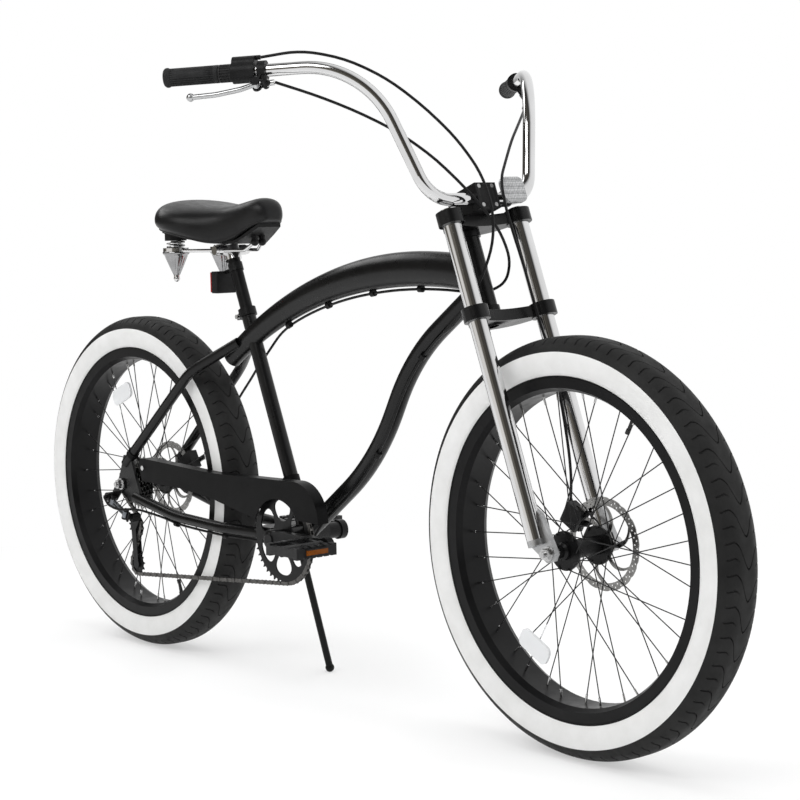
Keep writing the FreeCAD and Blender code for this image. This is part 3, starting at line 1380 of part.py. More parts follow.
leg_eye = disc(stand_pivot, STAND_PIN, 10.5, -8.0, 8.0)
leg_rod = rod(stand_pivot, stand_foot + Vector(0, 0, 8), 7.0)
leg_foot = Part.makeSphere(foot_radius, stand_foot + Vector(0, 0, 8.2))
stand = fused([leg_eye, leg_rod, leg_foot]).cut(disc(stand_pivot, STAND_PIN, 5.05, -30, 30))
stand = stand.cut(block(at(-900, -300, -30), at(900, 300, 0)))
feature("kickstand_leg", stand)


# Seat clamp collar with its bolt, and the seat post

collar_radius = dim.seat_tube_radius + 3.5
collar = ring(seat_tube_top, SEAT_UP, collar_radius, dim.seat_tube_radius, -16, 0)
lugs = block(Vector(-28.5, -8, -14), Vector(-17, 8, -3))
lugs.Placement = along(seat_tube_top, SEAT_UP)
slit = block(Vector(-32, -1, -20), Vector(-8, 1, 5))
slit.Placement = along(seat_tube_top, SEAT_UP)
collar = fused([collar, lugs]).cut(slit)
clamp_bolt = rod(Vector(-23.2, -13, -8.5), Vector(-23.2, 11, -8.5), 2.8)
clamp_bolt = clamp_bolt.fuse(rod(Vector(-23.2, -13, -8.5), Vector(-23.2, -8, -8.5), 4.5)).removeSplitter()
clamp_bolt.Placement = along(seat_tube_top, SEAT_UP)

post_above = 128.0
post_inside = 130.0
post_foot = seat_tube_top - SEAT_UP * post_inside
turned("seat_post", [
    (dim.seat_post_radius - 2.2, 0.0), (dim.seat_post_radius, 0.0),
    (dim.seat_post_radius, post_inside + post_above), (dim.seat_post_radius - 2.2, post_inside + post_above),
], along(post_foot, SEAT_UP))
post_top = seat_tube_top + SEAT_UP * post_above


# Saddle: cover on a base, carried by two wire rails that end in sprung cups

saddle_nose = bottom_bracket.x - 77
saddle_rear = saddle_nose - float(dim.saddle_length)
saddle_top = seat_tube_top.z + float(dim.saddle_rise) + 37
saddle_half = float(dim.saddle_width) / 2
# share of the length from the rear, share of the half width, top and bottom below the saddle's top
SADDLE_STATIONS = (
    (0.0, 0.52, 28, 46), (0.03, 0.68, 16, 54), (0.1, 0.88, 4, 60), (0.24, 1.0, 0, 66), (0.42, 0.9, 6, 74),
    (0.58, 0.66, 13, 82), (0.73, 0.45, 13, 84), (0.86, 0.36, 5, 66), (0.95, 0.3, 5, 52), (1.0, 0.18, 20, 42),
)


def saddle_ring(station, shrink, top_drop, bottom_drop):
    """One cross section: crowned top, full sides drawn in to a flat underside."""
    share, wide, top, bottom = station
    x = saddle_rear + share * float(dim.saddle_length)
    half = wide * saddle_half - shrink
    high = saddle_top - top - top_drop
    low = saddle_top - bottom - bottom_drop
    shoulder = high - 0.3 * (high - low)
    waist = low + 0.3 * (high - low)
    edges = [Part.LineSegment(at(x, -0.8 * half, low), at(x, 0.8 * half, low)).toShape()]
    edges.append(Part.Arc(at(x, 0.8 * half, low), at(x, 0.97 * half, waist), at(x, 0.9 * half, shoulder)).toShape())
    edges.append(Part.Arc(at(x, 0.9 * half, shoulder), at(x, 0, high), at(x, -0.9 * half, shoulder)).toShape())
    edges.append(Part.Arc(at(x, -0.9 * half, shoulder), at(x, -0.97 * half, waist), at(x, -0.8 * half, low)).toShape())
    return Part.Wire(edges)


saddle_cover = Part.makeLoft([saddle_ring(station, 0, 0, 0) for station in SADDLE_STATIONS], True, False)
feature("saddle_cover", saddle_cover)


def base_ring(station):
    share, wide, top, bottom = station
    x = saddle_rear + share * float(dim.saddle_length)
    half = 0.72 * wide * saddle_half
    high = saddle_top - bottom - 0.3
    return Part.makePolygon([at(x, -half, high - 7), at(x, half, high - 7), at(x, half, high), at(x, -half, high), at(x, -half, high - 7)])


saddle_base = Part.makeLoft([base_ring(station) for station in SADDLE_STATIONS[1:-1]], True, True)

rail_level = saddle_top - 104.0
spring_side = 58.0
spring_x = saddle_rear + 46.0
cup_top = rail_level + 6.0
cup_outer = 26.0
clamp_x = post_top.x
rail_r = float(dim.rail_radius)
rails = []
sockets = []
for side in SIDES:
    nose_seat = at(saddle_nose - 52, side * 9, saddle_top - 88)
    route = [
        nose_seat, at(saddle_nose - 76, side * 16, rail_level), at(clamp_x, side * 22, rail_level),
        at(spring_x + cup_outer - 2, side * spring_side, rail_level),
    ]
    rails.append(swept(bent_wire(route, [16, 120]), rail_r))
    sockets.append(Part.makeSphere(8.0, nose_seat).fuse(rod(nose_seat, nose_seat + Vector(0, 0, 30), 6.0)))

cups = []
plates = []
for side in SIDES:
    centre = at(spring_x, side * spring_side, 0)
    cone = Part.makeCone(6.0, cup_outer - 2.5, 42.0, centre + Vector(0, 0, cup_top - 54))
    flange = disc(centre, Z_AXIS, cup_outer, cup_top - 12, cup_top)
    tip = disc(centre, Z_AXIS, 6.0, cup_top - 60, cup_top - 54)
    acorn = Part.makeSphere(6.5, centre + Vector(0, 0, cup_top - 62))
    hollow = disc(centre, Z_AXIS, cup_outer - 4, cup_top - 10, cup_top + 1)
    cups.append(fused([cone, flange, tip, acorn]).cut(hollow))

# Saddle clamp: a sleeve on the post's reduced top, with two jaws round the rails
clamp_sleeve = disc(post_top, SEAT_UP, dim.seat_post_radius + 4.0, -24, 4)
jaw = rod(at(clamp_x, -34, rail_level), at(clamp_x, 34, rail_level), 10.5)
clamp = fused([clamp_sleeve, jaw, rod(post_top, at(clamp_x, 0, rail_level), 13.0)])
clamp = clamp.cut(disc(post_top, SEAT_UP, dim.seat_post_radius, -60, 0))
nuts = [disc(at(clamp_x, 0, rail_level), Y_AXIS * side, 9.0, 34, 41) for side in SIDES]
clamp = fused([clamp] + nuts)
for rail in rails:
    clamp = clamp.cut(rail)
rails_shape = [max(clamp.Solids, key=lambda solid: solid.Volume)]
for rail, cup in zip(rails, cups):
    rails_shape.append(rail.cut(cup))
    rails_shape.append(cup)
feature("saddle_rails", Part.makeCompound(rails_shape))

base_sockets = fused([saddle_base] + sockets).cut(saddle_cover)
for rail in rails:
    base_sockets = base_sockets.cut(rail)
spring_low = cup_top - 9.8
seat_plate_low = saddle_top - 66.0 - 7.3 - 10.0
plates = [disc(at(spring_x, side * spring_side, 0), Z_AXIS, 22.0, seat_plate_low, saddle_top - 62) for side in SIDES]
base = fused([base_sockets] + plates).cut(saddle_cover)
feature("saddle_base", max(base.Solids, key=lambda solid: solid.Volume))


# Saddle springs: one unbroken coil on each side, made of short tangent arcs

def biarc(start, start_way, end, end_way):
    """Two arcs that leave start and reach end along the given ways."""
    gap = end - start
    ways = start_way + end_way
    a = 2 * (1 - start_way.dot(end_way))
    b = gap.dot(ways)
    reach = (-b + math.sqrt(b * b + a * gap.dot(gap))) / a
    first_corner = start + start_way * reach
    last_corner = end - end_way * reach
    joint = (first_corner + last_corner) * 0.5
    edges = []
    for low, corner, high in ((start, first_corner, joint), (joint, last_corner, end)):
        back = unit(low - corner)
        ahead = unit(high - corner)
        half = back.getAngle(ahead) / 2
        bisector = unit(back + ahead)
        radius = (low - corner).Length * math.tan(half)
        centre = corner + bisector * (radius / math.sin(half))
        edges.append(Part.Arc(low, centre - bisector * radius, high).toShape())
    return edges


def coil(centre, radius, low, high, turns):
    """Rising coil; its ends lie flat for a quarter of a turn."""
    quarters = int(4 * turns)
    rise = (high - low) / (quarters - 2)
    points = []
    ways = []
    for index in range(quarters + 1):
        angle = index * math.pi / 2
        level = low + rise * min(max(index - 1, 0), quarters - 2)
        slope = rise if 1 <= index <= quarters - 1 else 0.0
        points.append(centre + Vector(radius * math.cos(angle), radius * math.sin(angle), level))
        ways.append(unit(Vector(-math.sin(angle), math.cos(angle), slope / (radius * math.pi / 2))))
    edges = []
    for index in range(quarters):
        edges += biarc(points[index], ways[index], points[index + 1], ways[index + 1])
    gap = rise * 4 - 2 * float(dim.spring_wire)
    print("spring: least gap between turns %.2f" % gap)
    return swept(Part.Wire(edges), dim.spring_wire)


wire_r = float(dim.spring_wire)
springs = []
for side in SIDES:
    centre = at(spring_x, side * spring_side, 0)
    springs.append(coil(centre, float(dim.spring_radius), spring_low + wire_r + 0.4, seat_plate_low - 0.6 - wire_r, float(dim.spring_turns)))
feature("saddle_springs", Part.makeCompound(springs))


# Rear reflector on a bracket banded to the post

band_place = post_top - SEAT_UP * 40.0
reflector_band = ring(band_place, SEAT_UP, dim.seat_post_radius + 2.0, dim.seat_post_radius, -8, 8)
arm_start = band_place - SEAT_AHEAD * (float(dim.seat_post_radius) + 1.0)
arm_end = band_place + Vector(-34, 0, -10)
bracket_arm = rod(arm_start, arm_end, 4.0)
reflector_centre = band_place + Vector(-46, 0, -30)
reflector_body = block(reflector_centre + Vector(-8, -24, -22), reflector_centre + Vector(14, 24, 22))
reflector_body = reflector_body.makeFillet(3.0, reflector_body.Edges)
red_lens = block(reflector_centre + Vector(-12, -22, -20), reflector_centre + Vector(-8, 22, 20))
bracket_piece = fused([reflector_band, bracket_arm]).cut(reflector_body)
bracket_piece = bracket_piece.cut(disc(band_place, SEAT_UP, dim.seat_post_radius, -40, 40))
feature("rear_reflector", Part.makeCompound([max(bracket_piece.Solids, key=lambda s: s.Volume), reflector_body, red_lens]))


# Disc brake calipers with their actuating arms

disc_middle = float(dim.disc_side) + float(dim.disc_thickness) / 2


def caliper(centre, turn):
    """Body astride the disc's edge; turn is its place round the axle."""
    radius = float(dim.disc_radius)
    angle = math.radians(turn)
    out = Vector(math.cos(angle), 0, math.sin(angle))
    across = Vector(-math.sin(angle), 0, math.cos(angle))

    def solid(near, far, half, low, high):
        corners = []
        for r, w in ((near, -half), (far, -half), (far, half), (near, half)):
            corners.append(centre + out * r + across * w + Y_AXIS * low)
        return prism(corners, Y_AXIS * (high - low))

    body = solid(radius - 20, radius + 18, 19, disc_middle - 9, disc_middle + 12)
    slot = solid(radius - 40, radius + 4, 40, disc_middle - 1.7, disc_middle + 1.7)
    middle = centre + out * (radius - 2)
    knob = disc(middle, Y_AXIS, 15.0, disc_middle + 11, disc_middle + 14)
    return fused([body, knob]).cut(slot), middle


def caliper_arm(middle, way):
    low = disc_middle + 14.3
    high = low + 4.0
    eye = disc(middle, Y_AXIS, 10.0, low, high)
    tip = middle + way * 34.0
    side = Vector(-way.z, 0, way.x)
    strip = prism([point + Y_AXIS * low for point in (middle + side * 7, tip + side * 4, tip - side * 4, middle - side * 7)],
                  Y_AXIS * 4.0)
    end = disc(tip, Y_AXIS, 5.0, low, high + 1)
    return fused([eye, strip, end]), tip + Y_AXIS * (low + 2.0)


front_caliper, front_middle = caliper(front_axle, 150.0)
leg_core = disc(steer_frame.multVec(leg_axes[1]), HEAD_UP, dim.leg_radius, leg_bottom, leg_top)
mounts = []
for step in (-14, 14):
    start = front_middle + Vector(0, disc_middle + 6, step) + Vector(8, 0, 0)
    leg_spot = steer_frame.multVec(at(dim.leg_offset, leg_half, steer_frame.inverse().multVec(start).z))
    mounts.append(rod(start, leg_spot, 5.0))
front_caliper = fused([front_caliper] + mounts).cut(leg_core)
fork_end_core = fork_ends[1].copy()
fork_end_core.Placement = steer_frame
front_caliper = max(front_caliper.cut(fork_end_core).Solids, key=lambda solid: solid.Volume)
feature("front_brake_caliper", front_caliper)
front_arm, front_cable_end = caliper_arm(front_middle, unit(Vector(-0.97, 0, 0.25)))
feature("front_caliper_arm", front_arm)

rear_caliper, rear_middle = caliper(rear_axle, 30.0)
mounts = []
for shift, target in ((Vector(-8, 0, 8), rear_axle + Vector(40, dropout_side, 68)), (Vector(-8, 0, -6), rear_axle + Vector(38, dropout_side, 20))):
    mounts.append(rod(rear_middle + shift + Y_AXIS * (disc_middle + 6), target, 5.0))
rear_caliper = fused([rear_caliper] + mounts)
for core in (seat_stay_core[1], chain_stay_core[1], dropouts[1]):
    rear_caliper = rear_caliper.cut(core)
feature("rear_brake_caliper", max(rear_caliper.Solids, key=lambda solid: solid.Volume))
rear_arm, rear_cable_end = caliper_arm(rear_middle, unit(Vector(0.94, 0, 0.35)))
feature("rear_caliper_arm", rear_arm)


# Brake and shift cables: each held from its lever or shifter to what it pulls

def cable(label, points):
    """A tube whose arcs are as large as their runs allow; prints its radii."""
    bends = []
    for before, corner, after in zip(points, points[1:], points[2:]):
        shorter = min((corner - before).Length, (after - corner).Length)
        turn = math.pi - (before - corner).getAngle(after - corner)
        bends.append(0.45 * shorter / math.tan(turn / 2))
    wire = bent_wire(points, bends)
    solid = swept(wire, dim.cable_radius)
    ideal = math.pi * float(dim.cable_radius) ** 2 * wire.Length
    print("%s: length %.0f, radii %s, volume %.4f of section times length"
          % (label, wire.Length, [round(bend) for bend in bends], solid.Volume / ideal))
    return solid


def world(point):
    return steer_frame.multVec(point)


front_start = world(left_hand.point(lever_places[1][1] + 25.2, pivot_offset - 1))
front_route = [
    front_start, Vector(252, 268, 1108), Vector(298, 214, 1088), Vector(340, 160, 1063), Vector(377, 107, 1033),
    Vector(407, 64, 998), Vector(434, 25, 964), Vector(449, 21, 916), Vector(458, 31, 868), Vector(471, 40, 818),
    Vector(485, 45, 768), Vector(500, 49, 718), Vector(514, 53, 680),
    Vector(526, 56, 644), Vector(538, 57, 594), Vector(548, 58, 544), Vector(554, 61, 496),
    front_cable_end + Vector(5, 5.9, 46), front_cable_end + Vector(1, 5.9, -2),
]
front_cable = cable("front_brake_cable", front_route)
feature("front_brake_cable", front_cable)


def under_top_tube(share, sideways):
    point, way, normal = top_station(share)
    return point - normal * (top_height(share) / 2 + 4.5) + Y_AXIS * sideways


rear_start = world(right_hand.point(lever_places[0][1] + 25.2, pivot_offset - 1))
rear_route = [
    rear_start, Vector(276, -244, 1108), Vector(318, -192, 1080), Vector(356, -138, 1046), Vector(391, -92, 1004),
    Vector(421, -56, 958), Vector(443, -24, 914), Vector(453, 6, 872), Vector(450, 30, 826), Vector(426, 42, 786),
    Vector(376, 36, 766),
]
rear_route += [under_top_tube(share, sideways) for share, sideways in (
    (0.12, 12), (0.2, 3), (0.29, 1), (0.38, 0), (0.47, 0), (0.56, 0), (0.65, 1), (0.735, 4), (0.805, 14))]
rear_route += [
    top_joint + Vector(-4, 27, -46), top_joint + Vector(-44, 39, -68), top_joint + Vector(-88, 56, -92),
    top_joint + Vector(-138, 69, -124), top_joint + Vector(-188, 74, -168), rear_axle + Vector(148, 76, 112),
    rear_cable_end + Vector(2, 0.5, 9),
]
rear_cable = cable("rear_brake_cable", rear_route)
feature("rear_brake_cable", rear_cable.cut(rear_arm))

shift_start = world(right_hand.point(housing_high + 9.2, -20, -12))
down_edges = down_wire.OrderedEdges


def beside_down_tube(share):
    """A place on the lower right of the down tube, share of its length from the head."""
    spot = share * down_wire.Length
    for edge in down_edges:
        if spot <= edge.Length or edge is down_edges[-1]:
            break
        spot -= edge.Length
    place = edge.getParameterByLength(spot)
    point = edge.valueAt(place)
    way = unit(edge.tangentAt(place))
    under = unit(way.cross(Y_AXIS))
    if under.z > 0:
        under = under * -1
    reach = float(dim.down_tube_radius) + float(dim.cable_radius) + 0.7
    return point + (under * math.sin(0.9) - Y_AXIS * math.cos(0.9)) * reach


def under_chain_stay(share):
    edges = chain_stay_wires[-1].OrderedEdges
    spot = share * chain_stay_wires[-1].Length
    for edge in edges:
        if spot <= edge.Length or edge is edges[-1]:
            break
        spot -= edge.Length
    point = edge.valueAt(edge.getParameterByLength(spot))
    return point - Z_AXIS * (float(dim.chain_stay_radius) + float(dim.cable_radius) + 2.0)


shift_route = [
    shift_start, Vector(250, -258, 1185), Vector(300, -204, 1170), Vector(344, -150, 1136), Vector(382, -102, 1088),
    Vector(416, -60, 1034), Vector(443, -30, 976), Vector(461, -20, 916), Vector(465, -24, 856), Vector(450, -36, 800),
    Vector(416, -40, 756), Vector(376, -30, 720),
]
shift_route += [beside_down_tube(share) for share in (0.19, 0.27, 0.35, 0.43, 0.51, 0.59, 0.67, 0.75, 0.83, 0.905)]
shift_route += [bottom_bracket + Vector(22, -22, -34), bottom_bracket + Vector(-30, -27, -34)]
shift_route += [under_chain_stay(share) for share in (0.16, 0.26, 0.37, 0.48, 0.59, 0.7, 0.81)]
shift_route += [rear_axle + Vector(62, -80, -47), rear_axle + Vector(24, -103, -50), rear_axle + Vector(-8, -106, -42), hanger_bolt + Vector(4, -30.5, 0)]
shift_cable = cable("shift_cable", shift_route)
feature("shift_cable", shift_cable)


# Cable guides: short sleeves brazed to the tubes that the cables run along

def guide(point, way, tube_core):
    sleeve = disc(point, way, 6.2, -5, 5)
    return sleeve.cut(tube_core)


guides = []
for share in (0.2, 0.38, 0.56, 0.735):
    point, way, normal = top_station(share)
    sleeve = guide(under_top_tube(share, 1), way, top_core).cut(rear_cable)
    guides.append(max(sleeve.Solids, key=lambda solid: solid.Volume))
for share in (0.27, 0.59):
    ahead = beside_down_tube(share + 0.02) - beside_down_tube(share - 0.02)
    sleeve = guide(beside_down_tube(share), ahead, down_core).cut(shift_cable)
    guides.append(max(sleeve.Solids, key=lambda solid: solid.Volume))
for share in (0.37, 0.7):
    ahead = under_chain_stay(share + 0.02) - under_chain_stay(share - 0.02)
    sleeve = guide(under_chain_stay(share), ahead, chain_stay_core[0]).cut(shift_cable)
    guides.append(max(sleeve.Solids, key=lambda solid: solid.Volume))
feature("frame_fittings", Part.makeCompound(guides + [collar.cut(clamp_bolt), clamp_bolt]))


# Check every object, then write one file for each sub-part

doc.recompute()
for item in doc.Objects:
    if "Invalid" in item.State or "Error" in item.State:
        raise RuntimeError("object failed: %s %s" % (item.Label, item.State))
bad = [item.Label for item in nodes if item.Shape.isNull() or not item.Shape.isValid()]
if bad:
    raise RuntimeError("bad shapes: " + ", ".join(bad))

os.makedirs("parts", exist_ok=True)
for item in nodes:
    item.Shape.exportStep("parts/%s.step" % item.Label)
print("%d sub-parts, %d solids" % (len(nodes), sum(len(item.Shape.Solids) for item in nodes)))
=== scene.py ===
import math

import bmesh
import bpy
from mathutils import Matrix, Vector


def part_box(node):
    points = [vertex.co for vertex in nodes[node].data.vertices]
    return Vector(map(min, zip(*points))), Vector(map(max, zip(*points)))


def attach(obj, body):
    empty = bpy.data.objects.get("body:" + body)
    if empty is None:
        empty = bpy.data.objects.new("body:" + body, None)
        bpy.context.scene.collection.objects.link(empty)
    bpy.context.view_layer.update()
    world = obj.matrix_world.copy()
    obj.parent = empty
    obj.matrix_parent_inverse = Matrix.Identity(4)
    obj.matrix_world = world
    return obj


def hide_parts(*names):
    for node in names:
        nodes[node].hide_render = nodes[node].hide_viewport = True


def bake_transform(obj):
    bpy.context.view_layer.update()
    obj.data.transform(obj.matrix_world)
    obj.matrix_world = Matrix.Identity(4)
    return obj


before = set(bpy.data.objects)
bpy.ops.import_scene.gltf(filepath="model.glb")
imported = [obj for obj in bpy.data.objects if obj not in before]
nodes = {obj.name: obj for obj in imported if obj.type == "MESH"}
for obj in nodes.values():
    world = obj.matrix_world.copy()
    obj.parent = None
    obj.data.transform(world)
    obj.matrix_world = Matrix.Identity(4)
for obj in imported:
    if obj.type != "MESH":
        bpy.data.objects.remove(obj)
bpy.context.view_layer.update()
scene = bpy.context.scene


# Viewpoint: a long lens a little above hub height, in front of the bicycle on its drive side.
# The picture leans by about a degree, as the photographed one does.
camera_place = Vector((2.8837, -2.3106, 0.9033))
camera_lens = 88.33
camera_lean = -0.0211
towards_viewer = Vector((0.7562, -0.6477, 0.0929)).normalized()
level_right = Vector((0.6505, 0.7595, 0.0)).normalized()
level_up = towards_viewer.cross(level_right)
picture_right = level_right * math.cos(camera_lean) + level_up * math.sin(camera_lean)
picture_up = towards_viewer.cross(picture_right)
view_data = bpy.data.cameras.new("long_lens")
view_data.lens = camera_lens
view_data.sensor_width = 36.0
view = bpy.data.objects.new("long_lens", view_data)
scene.collection.objects.link(view)
view.matrix_world = Matrix((
    (picture_right.x, picture_up.x, towards_viewer.x, camera_place.x),
    (picture_right.y, picture_up.y, towards_viewer.y, camera_place.y),
    (picture_right.z, picture_up.z, towards_viewer.z, camera_place.z),
    (0.0, 0.0, 0.0, 1.0),
))
scene.camera = view
scene.view_settings.view_transform = "Standard"


# Studio: a pale floor that runs out into a white room, lit by large soft boxes.
# The room is white on the far side and has dark flags on the drive side, so that plated
# steel shows dark and bright bands along its tubes.
room_bands = [(0.0, (1.0, 1.0, 1.0)), (0.24, (0.92, 0.92, 0.92)), (0.34, (0.55, 0.55, 0.55)),
              (0.42, (0.06, 0.06, 0.058)), (0.47, (0.05, 0.048, 0.045)), (0.6, (0.07, 0.064, 0.055)),
              (0.72, (0.055, 0.051, 0.044)), (0.8, (0.14, 0.13, 0.11)), (0.885, (0.15, 0.14, 0.122)),
              (0.915, (0.85, 0.83, 0.8)), (0.96, (0.85, 0.83, 0.8)), (1.0, (0.5, 0.49, 0.47))]
flag_side = (-0.17, -0.9, -0.4)
room_level = 0.62
white = (1.0, 1.0, 1.0, 1.0)
floor_colour = (0.92, 0.92, 0.92, 1.0)
floor_half = 9.0
floor_drop = 0.0006
glow_near = 0.5
glow_far = 2.0
glow_least = 0.45


def fed(tree, node, *feeds):
    """The node, with its first inputs linked or set in turn."""
    for socket, feed in zip(node.inputs, feeds):
        if isinstance(feed, bpy.types.NodeSocket):
            tree.links.new(feed, socket)
        else:
            socket.default_value = feed
    return node


def number_node(tree, operation, *feeds):
    node = tree.nodes.new("ShaderNodeMath")
    node.operation = operation
    return fed(tree, node, *feeds).outputs[0]


def vector_node(tree, operation, *feeds):
    node = tree.nodes.new("ShaderNodeVectorMath")
    node.operation = operation
    fed(tree, node, *feeds)
    return node.outputs["Value" if operation in ("DOT_PRODUCT", "LENGTH") else "Vector"]


def mixed(tree, share, first, second):
    return fed(tree, tree.nodes.new("ShaderNodeMixShader"), share, first, second).outputs[0]


room = bpy.data.worlds.new("white_room")
scene.world = room
room.use_nodes = True
tree = room.node_tree
tree.nodes.clear()
way = tree.nodes.new("ShaderNodeTexCoord").outputs["Generated"]
share = tree.nodes.new("ShaderNodeMapRange")
share.inputs["From Min"].default_value = -1.0
tree.links.new(vector_node(tree, "DOT_PRODUCT", way, flag_side), share.inputs["Value"])
shade = tree.nodes.new("ShaderNodeValToRGB")
stops = shade.color_ramp.elements
for band in room_bands[1:-1]:
    stops.new(band[0])
for stop, band in zip(stops, room_bands):
    stop.color = (*band[1], 1.0)
tree.links.new(share.outputs["Result"], shade.inputs["Fac"])
walls = fed(tree, tree.nodes.new("ShaderNodeBackground"), shade.outputs["Color"]).outputs[0]
ambient = fed(tree, tree.nodes.new("ShaderNodeBackground"), white, room_level).outputs[0]
sweep = fed(tree, tree.nodes.new("ShaderNodeBackground"), white, 1.0).outputs[0]
path = tree.nodes.new("ShaderNodeLightPath").outputs
seen = number_node(tree, "MAXIMUM", path["Is Camera Ray"], path["Is Transmission Ray"])
mirrored = mixed(tree, path["Is Glossy Ray"], ambient, walls)
room_out = tree.nodes.new("ShaderNodeOutputWorld")
tree.links.new(mixed(tree, seen, mirrored, sweep), room_out.inputs["Surface"])

floor_mesh = bpy.data.meshes.new("studio_floor")
floor_mesh.from_pydata(
    [(-floor_half, -floor_half, 0.0), (floor_half, -floor_half, 0.0),
     (floor_half, floor_half, 0.0), (-floor_half, floor_half, 0.0)], [], [(0, 1, 2, 3)])
floor = bpy.data.objects.new("studio_floor", floor_mesh)
scene.collection.objects.link(floor)
floor.location.z = -floor_drop
floor_paint = bpy.data.materials.new("pale_floor")
floor_paint.use_nodes = True
tree = floor_paint.node_tree
tree.nodes.clear()
matt = fed(tree, tree.nodes.new("ShaderNodeBsdfDiffuse"), floor_colour).outputs[0]
glow = fed(tree, tree.nodes.new("ShaderNodeEmission"), white, 1.0).outputs[0]
spot = tree.nodes.new("ShaderNodeTexCoord").outputs["Object"]
fade = tree.nodes.new("ShaderNodeMapRange")
fade.interpolation_type = "SMOOTHSTEP"
fade.inputs["From Min"].default_value = glow_near
fade.inputs["From Max"].default_value = glow_far
fade.inputs["To Min"].default_value = glow_least
tree.links.new(vector_node(tree, "LENGTH", spot), fade.inputs["Value"])
path = tree.nodes.new("ShaderNodeLightPath").outputs
seen = number_node(tree, "MAXIMUM", path["Is Camera Ray"], path["Is Glossy Ray"])
shown = number_node(tree, "MAXIMUM", seen, path["Is Transmission Ray"])
both = number_node(tree, "MULTIPLY", fade.outputs["Result"], shown)
floor_out = tree.nodes.new("ShaderNodeOutputMaterial")
tree.links.new(mixed(tree, both, matt, glow), floor_out.inputs["Surface"])
floor_mesh.materials.append(floor_paint)


def soft_box(name, place, aim, width, height, watts, shows=True):
    """A soft lamp of that size, turned towards the aim; plated steel mirrors it where it shows."""
    lamp = bpy.data.lights.new(name, "AREA")
    lamp.shape = "RECTANGLE"
    lamp.size = width
    lamp.size_y = height
    lamp.energy = watts
    box = bpy.data.objects.new(name, lamp)
    scene.collection.objects.link(box)
    box.location = place
    box.rotation_euler = (Vector(aim) - Vector(place)).to_track_quat("-Z", "Y").to_euler()
    box.visible_camera = False
    box.visible_glossy = shows


soft_box("overhead_box", (0.1, -0.2, 3.4), (0.0, 0.0, 0.4), 3.4, 2.4, 46.0, shows=False)
soft_box("drive_side_box", (0.2, -2.7, 3.1), (0.0, 0.0, 0.5), 3.0, 1.4, 50.0)
soft_box("rear_box", (-3.2, -0.3, 3.1), (0.0, 0.0, 0.8), 2.2, 1.2, 24.0)
soft_box("front_box", (3.6, 0.9, 1.7), (0.5, 0.0, 0.6), 1.2, 2.2, 26.0, shows=False)
soft_box("far_side_box", (-0.6, 3.4, 2.2), (0.0, 0.0, 0.5), 2.4, 1.6, 26.0, shows=False)


# Frame tubes: steel tubes bent, mitred and welded, sprayed satin black in one go with
# the stays and dropouts. The sides of the top tube and the head tube's front are bare paint.
def noise(tree, place, scale, detail):
    """Soft random field over the piece's own metres."""
    field = tree.nodes.new("ShaderNodeTexNoise")
    field.inputs["Scale"].default_value = scale
    field.inputs["Detail"].default_value = detail
    tree.links.new(place, field.inputs["Vector"])
    return field


def finish(name, dark, light, metal=0.0, rough=(0.34, 0.44), patch=7.0, grain=700.0, relief=0.04,
           gloss_level=0.5, marks=()):
    """A finish with cloudy colour, uneven gloss and fine relief.

    Each mark is a mask with the colour, metal share and roughness that it lays over the finish.
    """
    material = bpy.data.materials.new(name)
    material.use_nodes = True
    tree = material.node_tree
    shader = tree.nodes["Principled BSDF"]
    place = tree.nodes.new("ShaderNodeTexCoord").outputs["Object"]
    cloud = noise(tree, place, patch, 5.0)
    cloud.inputs["Roughness"].default_value = 0.62
    colour = tree.nodes.new("ShaderNodeValToRGB")
    colour.color_ramp.elements[0].position = 0.32
    colour.color_ramp.elements[0].color = (*dark, 1.0)
    colour.color_ramp.elements[1].position = 0.7
    colour.color_ramp.elements[1].color = (*light, 1.0)
    tree.links.new(cloud.outputs["Fac"], colour.inputs["Fac"])
    smear = noise(tree, place, patch * 5.0, 3.0)
    gloss = tree.nodes.new("ShaderNodeMapRange")
    gloss.inputs["From Min"].default_value = 0.3
    gloss.inputs["From Max"].default_value = 0.7
    gloss.inputs["To Min"].default_value = rough[0]
    gloss.inputs["To Max"].default_value = rough[1]
    tree.links.new(smear.outputs["Fac"], gloss.inputs["Value"])
    fine = noise(tree, place, grain, 2.0)
    bump = tree.nodes.new("ShaderNodeBump")
    bump.inputs["Strength"].default_value = relief
    bump.inputs["Distance"].default_value = 0.0008
    tree.links.new(fine.outputs["Fac"], bump.inputs["Height"])
    tree.links.new(bump.outputs["Normal"], shader.inputs["Normal"])
    colour_end = colour.outputs["Color"]
    rough_end = gloss.outputs["Result"]
    metal_end = None
    shader.inputs["Metallic"].default_value = metal
    for mask, mark_colour, mark_metal, mark_rough in marks:
        share = mask(tree, place)
        tint = tree.nodes.new("ShaderNodeMix")
        tint.data_type = "RGBA"
        tree.links.new(share, tint.inputs[0])
        tree.links.new(colour_end, tint.inputs[6])
        tint.inputs[7].default_value = (*mark_colour, 1.0)
        colour_end = tint.outputs[2]
        sheen = tree.nodes.new("ShaderNodeMix")
        tree.links.new(share, sheen.inputs[0])
        tree.links.new(rough_end, sheen.inputs[2])
        sheen.inputs[3].default_value = mark_rough
        rough_end = sheen.outputs[0]
        alloy = tree.nodes.new("ShaderNodeMix")
        tree.links.new(share, alloy.inputs[0])
        if metal_end is None:
            alloy.inputs[2].default_value = metal
        else:
            tree.links.new(metal_end, alloy.inputs[2])
        alloy.inputs[3].default_value = mark_metal
        metal_end = alloy.outputs[0]
    tree.links.new(colour_end, shader.inputs["Base Color"])
    tree.links.new(rough_end, shader.inputs["Roughness"])
    if metal_end is not None:
        tree.links.new(metal_end, shader.inputs["Metallic"])
    shader.inputs["Specular IOR Level"].default_value = gloss_level
    return material


def dress(material, *names):
    for name in names:
        part = nodes[name]
        if not part.material_slots:
            part.data.materials.append(material)
        for slot in part.material_slots:
            slot.material = material


